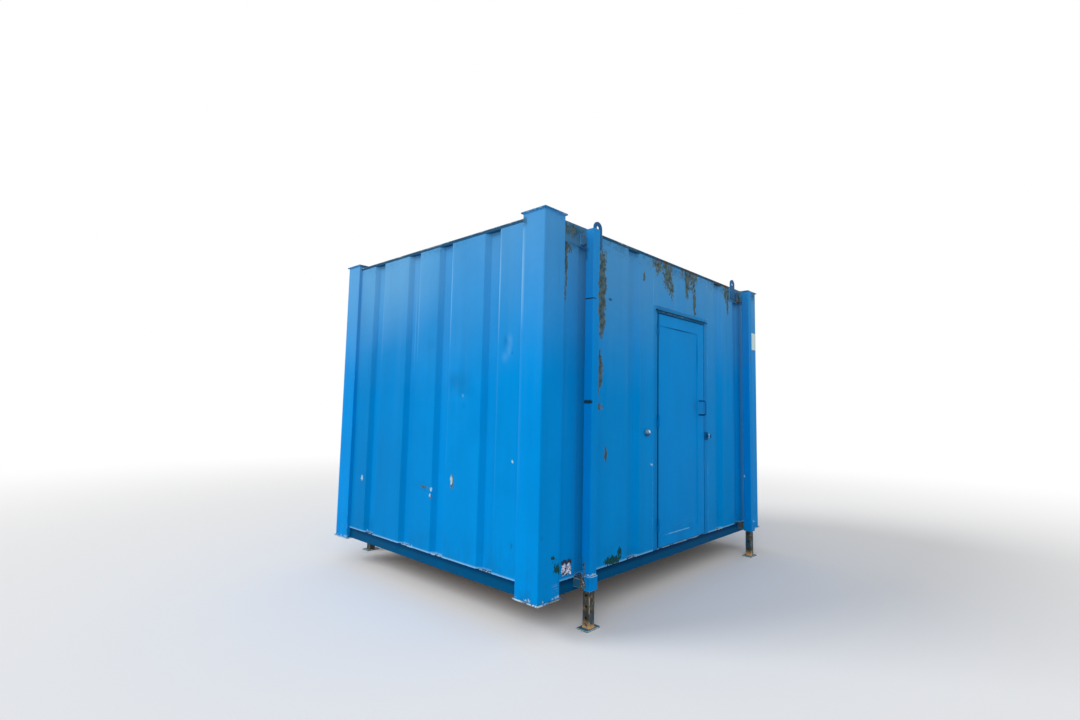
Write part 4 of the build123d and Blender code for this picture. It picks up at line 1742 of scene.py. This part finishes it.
@dataclass
class JackGear:
    """Jack tubes, their plates and brackets, the lugs, and the four telescopic legs."""

    hole_radius: float = 0.010
    hole_pitch: float = 0.076
    first_hole: float = 0.075
    hole_count: int = 17
    foot_thickness: float = 0.010
    scrape: float = 2.303
    lower_scrape: float = 1.555
    collar: float = 0.090
    collar_top: float = 0.350
    head_plate: tuple[float, float] = (0.463, 0.063)
    lug: tuple[float, float] = (0.100, 0.012)
    leg_wall: float = 0.005
    leg_bend: float = 0.005
    bore_bend: float = 0.0015

    def tube_patches(self) -> list[Patch]:
        """List the wear of the jack tubes, most of it on the near one.

        Returns:
            The patches.
        """
        return [
            Patch(Mark.GRIME, (-1.422, -1.435, 1.558), (0.012, 0.06, 0.012), 3.2),
            Patch(Mark.BARE, (1.342, -1.406, 0.823), (0.02, 0.010, 0.011), 2.0),
            Patch(Mark.GRIME, (-1.418, -1.4375, self.scrape), (0.02, 0.06, 0.004), 3.0),
            Patch(Mark.GRIME, (-1.405, -1.4755, self.scrape), (0.026, 0.02, 0.004), 2.4),
            Patch(Mark.GRIME, (-1.418, -1.40, 2.66), (0.02, 0.03, 0.10), 0.9),
            Patch(Mark.BARE, (-1.38, -1.4825, 0.357), (0.06, 0.02, 0.005), 1.3),
            Patch(Mark.BARE, (-1.425, -1.455, 0.357), (0.02, 0.03, 0.005), 1.1),
            Patch(Mark.PEEL, (-1.42, -1.402, 0.31), (0.03, 0.040, 0.075), 1.4),
            Patch(Mark.RUST, (-1.42, -1.400, 0.33), (0.03, 0.026, 0.075), 0.9),
            Patch(Mark.ALGAE, (-1.42, -1.408, 0.40), (0.03, 0.012, 0.06), 1.0),
            Patch(Mark.PEEL, (-1.418, -1.43, 0.41), (0.02, 0.012, 0.05), 1.0),
            Patch(Mark.BARE, (-1.425, -1.425, 0.30), (0.02, 0.012, 0.05), 0.45),
            Patch(Mark.PEEL, (-1.346, -1.4755, 2.35), (0.010, 0.03, 0.30), 0.8),
            Patch(Mark.PEEL, (1.380, -1.4375, 2.1), (0.05, 0.05, 0.05), 0.85),
            Patch(Mark.BARE, (1.400, -1.4825, 0.357), (0.030, 0.02, 0.005), 1.1),
            Patch(Mark.RUST, (-1.380, 1.4375, 0.36), (0.06, 0.06, 0.012), 0.9),
            Patch(Mark.RUST, (1.380, 1.4375, 0.36), (0.06, 0.06, 0.012), 0.9),
        ]

    def build(self) -> None:
        """Make the lifting gear."""
        tubes = WornCopy("jack_tubes", TUBE_PAINT, 0.001, (0.02, 0.02, 0.03), self.tube_patches())
        tubes.edges = EdgeBox.in_quarter("jack_tubes", self.collar, self.collar)
        tubes.cuts = [(2, self.scrape + step) for step in (-0.007, -0.003, 0.003, 0.007)]
        tubes.cuts += [(2, self.collar_top)]
        tubes.cuts += [(2, self.lower_scrape + step) for step in (-0.015, -0.008, 0.008, 0.015)]
        tubes.build()
        plate_marks = [
            Patch(Mark.PEEL, (-1.53, -1.3445, 2.81), (0.09, 0.03, 0.040), 0.75),
            Patch(Mark.GRIME, (-1.50, -1.3445, 2.80), (0.16, 0.03, 0.06), 0.8),
            Patch(Mark.BARE, (-1.459, -1.3445, 2.78), (0.004, 0.03, 0.045), 0.9),
            Patch(Mark.RUST, (-1.38, -1.39, 2.75), (0.05, 0.04, 0.06), 0.9),
            Patch(Mark.RUST, (1.36, -1.36, 2.74), (0.05, 0.04, 0.04), 0.65),
            Patch(Mark.GRIME, (1.36, -1.345, 2.77), (0.25, 0.04, 0.10), 1.0),
        ]
        plates = WornCopy("jack_brackets_upper", BRACKET_PAINT, 0.0015, (0.02, 0.02, 0.015))
        plates.patches = plate_marks
        plates.edges = EdgeBox.in_quarter("jack_brackets_upper", *self.head_plate)
        plates.build()
        WornCopy("jack_brackets_lower", BRACKET_RUST, 0.0015).build()
        lug_edges = EdgeBox.in_quarter("lifting_lugs", *self.lug)
        WornCopy("lifting_lugs", LUG_PAINT, 0.0015, edges=lug_edges).build()
        for corner in CORNERS:
            self.build_leg(corner)
            WornCopy(f"foot_plate_{corner}", FOOT_RUST, 0.0015).build()

    @staticmethod
    def leg_finish(corner: str) -> RustedSteel:
        """Return a leg's rust; the back legs take the darker copy, painted shade."""
        return LEG_RUST_SHADED if "back" in corner else LEG_RUST

    @staticmethod
    def rounded_square(half: float, bend: float) -> list[tuple[float, float]]:
        """Draw a square with round corners about the origin.

        Args:
            half: Half its side.
            bend: Radius of its corners.

        Returns:
            The points, in order round it.
        """
        loop = []
        flat = half - bend
        for quarter, (sign_x, sign_y) in enumerate(((1, 1), (-1, 1), (-1, -1), (1, -1))):
            for step in range(4):
                turn = math.pi / 2 * (quarter + step / 3)
                x, y = bend * math.cos(turn), bend * math.sin(turn)
                loop.append((sign_x * flat + x, sign_y * flat + y))
        return loop

    def build_leg(self, corner: str) -> None:
        """Make one leg: a square tube with round pin holes right through it.

        Args:
            corner: The corner that the leg stands at.
        """
        node = f"leg_{corner}"
        low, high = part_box(node)
        middle = (low + high) / 2
        half = (high.x - low.x) / 2
        outside = self.rounded_square(half, self.leg_bend)
        bore = self.rounded_square(half - self.leg_wall, self.bore_bend)
        shape = bmesh.new()
        rings = [
            [shape.verts.new((middle.x + x, middle.y + y, z)) for x, y in loop]
            for loop in (outside, bore) for z in (low.z, high.z)
        ]
        count = len(outside)
        for first, second in ((0, 1), (2, 3), (0, 2), (1, 3)):
            lower, upper = rings[first], rings[second]
            for index in range(count):
                after = (index + 1) % count
                shape.faces.new((lower[index], lower[after], upper[after], upper[index]))
        bmesh.ops.recalc_face_normals(shape, faces=shape.faces)
        mesh = bpy.data.meshes.new(f"worn_{node}")
        shape.to_mesh(mesh)
        shape.free()
        finish = self.leg_finish(corner)
        mesh.materials.append(finish.material(node, EdgeBox.around(node)))
        piece = add_piece(f"worn_{node}", mesh, body_of(node), slot_of(node))
        self.drill(piece, middle, low.z)
        soften(piece, 0.0008)
        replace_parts(piece, node)

    def drill(self, piece: bpy.types.Object, middle: Vector, foot: float) -> None:
        """Cut the pin holes through a leg along X.

        Args:
            piece: The leg.
            middle: The leg's middle.
            foot: Height of its lower end.
        """
        runs = []
        for hole in range(self.hole_count):
            z = foot - self.foot_thickness + self.first_hole + hole * self.hole_pitch
            runs.append([Vector((middle.x + side * 0.05, middle.y, z)) for side in (-1, 1)])
        places, faces = tube_mesh(runs, self.hole_radius, 20)
        drills = bpy.data.objects.new("drills", mesh_from("drills", places, faces))
        bpy.context.scene.collection.objects.link(drills)
        cut = piece.modifiers.new("holes", "BOOLEAN")
        cut.operation = "DIFFERENCE"
        cut.object = drills
        cut.solver = "EXACT"
        drilled = piece.evaluated_get(bpy.context.evaluated_depsgraph_get())
        finished = bpy.data.meshes.new_from_object(drilled)
        piece.modifiers.clear()
        solid = piece.data
        piece.data = finished
        bpy.data.meshes.remove(solid)
        bpy.data.objects.remove(drills)


# --------------------------------------------------------------------------- small work


@dataclass
class WeldBeads:
    """Weld beads along the joints of the frame and the lifting gear."""

    radius: float = 0.0035
    foot_radius: float = 0.004
    foot_half: float = 0.030
    sides: int = 6
    ripple: float = 0.2
    pitch: float = 0.009
    long_pitch: float = 0.022
    post: tuple[float, float] = (1.818, 1.3605)
    post_inner: tuple[float, float] = (1.603, 1.1455)
    post_ends: tuple[float, float] = (0.235, 2.885)
    arris: float = 0.006
    wall: tuple[float, float] = (1.794, 1.3365)
    wall_ends: tuple[float, float] = (0.330, 2.836)
    tube: tuple[float, float] = (1.380, 1.4375)
    tube_half: float = 0.038
    collar_top: float = 0.358
    plate_face: float = 1.3445
    plate_span: tuple[float, float] = (1.140, 1.600)
    seams: Sequence[Point] = (
        (1.160, 2.739, 2.853), (1.260, 2.739, 2.853), (1.350, 2.720, 2.804), (1.410, 2.720, 2.804),
    )

    def quarter_beads(self) -> list[tuple[Point, Point, float]]:
        """List the straight beads of the quarter of the plan where X and Y are above 0.

        Returns:
            The start, end and pitch of each bead.
        """
        (post_x, post_y), (inner_x, inner_y) = self.post, self.post_inner
        (wall_x, wall_y), (foot, head) = self.wall, self.wall_ends
        beads = [
            ((inner_x, wall_y, foot), (inner_x, wall_y, head), self.long_pitch),
            ((wall_x, inner_y, foot), (wall_x, inner_y, head), self.long_pitch),
        ]
        for z in self.post_ends:
            beads.append(((post_x - self.arris, post_y, z), (inner_x, post_y, z), self.pitch))
            beads.append(((post_x, post_y - self.arris, z), (post_x, inner_y, z), self.pitch))
        face = self.plate_face
        for x, low, high in self.seams:
            beads.append(((x, face, low), (x, face, high), self.pitch))
        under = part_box("jack_brackets_upper")[0].z
        start, end = self.plate_span
        beads.append(((start, wall_y, under), (end, wall_y, under), self.pitch))
        return beads

    def runs(self) -> tuple[list[list[Vector]], list[list[Vector]]]:
        """Work out where the beads lie.

        Returns:
            Open runs and closed runs.
        """
        straight, round_tubes = [], []
        tube_x, tube_y = self.tube
        for sx in (-1, 1):
            for sy in (-1, 1):
                for start, end, pitch in self.quarter_beads():
                    ends = [(sx * x, sy * y, z) for x, y, z in (start, end)]
                    straight.append(stretch_of(*ends, pitch))
                collar = self.square(sx * tube_x, sy * tube_y, self.tube_half, self.collar_top)
                round_tubes.append(collar)
        return straight, round_tubes

    def square(self, x: float, y: float, half: float, z: float) -> list[Vector]:
        """Run a bead round a square tube.

        Args:
            x: The tube's middle along X.
            y: Its middle along Y.
            half: Half its side.
            z: Height of the bead.

        Returns:
            The bead's points.
        """
        signs = ((-1, -1), (1, -1), (1, 1), (-1, 1))
        return ring_of([(x + sx * half, y + sy * half, z) for sx, sy in signs], self.pitch)

    def build(self) -> None:
        """Make the cabin's beads as one piece, and one for each leg's foot."""
        straight, round_tubes = self.runs()
        places, faces = tube_mesh(straight, self.radius, self.sides, ripple=self.ripple)
        more, more_faces = tube_mesh(round_tubes, self.radius, self.sides, True, self.ripple)
        faces += [tuple(index + len(places) for index in face) for face in more_faces]
        mesh = mesh_from("weld_beads", places + more, faces)
        mesh.materials.append(POST_PAINT.material("welds", NO_EDGES))
        add_piece("weld_beads", mesh, "cabin", "frame_paint")
        for corner in CORNERS:
            low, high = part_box(f"leg_{corner}")
            middle = (low + high) / 2
            bead = self.square(middle.x, middle.y, self.foot_half, low.z)
            places, faces = tube_mesh([bead], self.foot_radius, self.sides, True, self.ripple)
            name = f"foot_weld_{corner}"
            mesh = mesh_from(name, places, faces)
            mesh.materials.append(JackGear.leg_finish(corner).material(name, NO_EDGES))
            add_piece(name, mesh, body_of(f"leg_{corner}"), "rusty_leg")


@dataclass
class BlankLabels:
    """Two blank labels: a torn one by the near post and a whole one on the far post."""

    film: float = 0.0012
    count: int = 24
    near: Point = (-1.505, -1.3365, 0.412)
    near_half: tuple[float, float] = (0.055, 0.055)
    far: Point = (1.708, -1.3605, 2.318)
    far_half: tuple[float, float] = (0.096, 0.098)

    def sheet(
        self, name: str, centre: Point, half: tuple[float, float], torn: float, curl: float
    ) -> bpy.types.Mesh:
        """Make a thin label with a ragged edge and lifting corners.

        Args:
            name: Name of the mesh.
            centre: Middle of its back.
            half: Half its width and height.
            torn: How ragged its edge is.
            curl: How far its corners lift.

        Returns:
            The mesh.
        """
        count = self.count
        places: list[Vector] = []
        for layer in (0.0, self.film):
            for row in range(count + 1):
                for column in range(count + 1):
                    u, v = 2 * column / count - 1, 2 * row / count - 1
                    ragged = max(0.0, noise.noise(Vector((u * 3.1, v * 3.1, 5.0))) + 0.25)
                    shrink = 1 - torn * ragged * max(abs(u), abs(v)) ** 2
                    lift = curl * max(0.0, abs(u) + abs(v) - 1.55) ** 2
                    x, z = half[0] * u * shrink, half[1] * v * shrink
                    places.append(Vector((centre[0] + x, centre[1] - layer - lift, centre[2] + z)))
        faces = []
        wide = count + 1
        size = wide * wide
        for layer in (0, size):
            for row in range(count):
                for column in range(count):
                    here = layer + row * wide + column
                    faces.append((here, here + 1, here + wide + 1, here + wide))
        rim = list(range(count))
        rim += [row * wide + count for row in range(count)]
        rim += [count * wide + column for column in range(count, 0, -1)]
        rim += [row * wide for row in range(count, 0, -1)]
        for index, here in enumerate(rim):
            after = rim[(index + 1) % len(rim)]
            faces.append((here, after, after + size, here + size))
        return mesh_from(name, places, faces)

    @staticmethod
    def around(centre: Point, half: tuple[float, float]) -> EdgeBox:
        """Return the box that holds a label."""
        (x, y, z), (wide, tall) = centre, half
        return EdgeBox((x - wide, y - 0.01, z - tall), (x + wide, y, z + tall))

    def build(self) -> None:
        """Make both labels."""
        paper = PlainLabel("torn_film", shade(220, 226, 246), shade(20, 44, 70), 0.10)
        torn = self.sheet("torn_label", self.near, self.near_half, 0.45, 0.02)
        torn.materials.append(paper.material("near", self.around(self.near, self.near_half)))
        add_piece("torn_label", torn, "cabin", "wall_paint")
        plain = PlainLabel("white_film", shade(190, 214, 216), shade(150, 168, 170), 0.0)
        whole = self.sheet("post_label", self.far, self.far_half, 0.03, 0.004)
        whole.materials.append(plain.material("far", self.around(self.far, self.far_half)))
        add_piece("post_label", whole, "cabin", "frame_paint")


# --------------------------------------------------------------------------- studio


@dataclass
class Studio:
    """Camera, lights, floor and background."""

    eye: Point = (-4.507, -3.852, 1.505)
    yaw: float = 46.934
    pitch: float = 5.031
    roll: float = 1.200
    lens: float = 18.288
    sky: float = 0.52
    floor_reach: float = 60.0
    fade_start: float = 4.0
    fade_end: float = 13.0
    suns: Sequence[tuple[str, float, float, Point]] = (
        ("end_sun", 1.40, 30.0, (-0.62, 0.55, 0.55)),
        ("side_sun", 0.84, 45.0, (-0.68, -0.54, 0.48)),
    )

    def build(self) -> None:
        """Set up the studio."""
        self.build_camera()
        self.build_light()
        self.build_floor()
        bpy.context.scene.view_settings.view_transform = "Standard"

    def build_camera(self) -> None:
        """Stand the camera where the photograph was taken."""
        yaw, pitch, roll = (math.radians(angle) for angle in (self.yaw, self.pitch, self.roll))
        flat = math.cos(pitch)
        forward = Vector((math.sin(yaw) * flat, math.cos(yaw) * flat, math.sin(pitch)))
        level = Vector((math.cos(yaw), -math.sin(yaw), 0.0))
        upright = level.cross(forward)
        right = level * math.cos(roll) + upright * math.sin(roll)
        up = upright * math.cos(roll) - level * math.sin(roll)
        data = bpy.data.cameras.new("camera")
        data.sensor_width = 36.0
        data.lens = self.lens
        camera = bpy.data.objects.new("camera", data)
        turn = Matrix((right, up, -forward)).transposed().to_4x4()
        camera.matrix_world = Matrix.Translation(self.eye) @ turn
        bpy.context.scene.collection.objects.link(camera)
        bpy.context.scene.camera = camera

    def build_light(self) -> None:
        """Light the cabin with an even sky, a sun on its end wall and a weaker one on the other."""
        for name, energy, width, direction in self.suns:
            data = bpy.data.lights.new(name, "SUN")
            data.energy = energy
            data.angle = math.radians(width)
            sun = bpy.data.objects.new(name, data)
            sun.rotation_euler = Vector(direction).to_track_quat("Z", "Y").to_euler()
            bpy.context.scene.collection.objects.link(sun)
        world = bpy.data.worlds.new("studio")
        bpy.context.scene.world = world
        world.use_nodes = True
        world.node_tree.nodes.clear()
        w = Wiring(world.node_tree)
        path = w.node("ShaderNodeLightPath").outputs
        mirrored = w.larger(path["Is Glossy Ray"], path["Is Transmission Ray"])
        seen = w.larger(path["Is Camera Ray"], mirrored)
        strength = w.plus(self.sky, w.times(seen, 1.0 - self.sky))
        back = w.node("ShaderNodeBackground", {"Color": (1.0, 1.0, 1.0, 1.0), "Strength": strength})
        w.feed(w.node("ShaderNodeOutputWorld").inputs["Surface"], back.outputs[0])

    def build_floor(self) -> None:
        """Lay a wide pale floor that fades into the background."""
        mesh = bpy.data.meshes.new("studio_floor")
        reach = self.floor_reach
        corners = [(-reach, -reach, 0), (reach, -reach, 0), (reach, reach, 0), (-reach, reach, 0)]
        mesh.from_pydata(corners, [], [(0, 1, 2, 3)])
        floor = bpy.data.objects.new("studio_floor", mesh)
        bpy.context.scene.collection.objects.link(floor)
        finish = bpy.data.materials.new("studio_floor")
        finish.use_nodes = True
        finish.node_tree.nodes.clear()
        w = Wiring(finish.node_tree)
        away = w.node("ShaderNodeVectorMath", {0: w.place()}, operation="LENGTH").outputs["Value"]
        fade = w.step(away, self.fade_start, self.fade_end)
        matt = w.node("ShaderNodeBsdfDiffuse", {"Color": (0.9, 0.9, 0.9, 1.0)})
        glow = w.node("ShaderNodeEmission", {"Color": (1.0, 1.0, 1.0, 1.0), "Strength": 1.0})
        mixed = w.node("ShaderNodeMixShader", {0: fade, 1: matt.outputs[0], 2: glow.outputs[0]})
        w.feed(w.node("ShaderNodeOutputMaterial").inputs["Surface"], mixed.outputs[0])
        mesh.materials.append(finish)


def main() -> None:
    """Build the cabin's looks in order and report each sub-assembly."""
    logging.basicConfig(level=logging.INFO, format="%(name)s: %(message)s")
    assemblies = (
        Studio(), Walls(), CornerFrame(), Room(), Doorway(), JackGear(), WeldBeads(), BlankLabels()
    )
    for assembly in assemblies:
        before = set(bpy.data.objects)
        assembly.build()
        made = sorted(piece.name for piece in set(bpy.data.objects) - before)
        log.info("%s made %s", type(assembly).__name__, ", ".join(made))


if __name__ == "__main__":
    main()
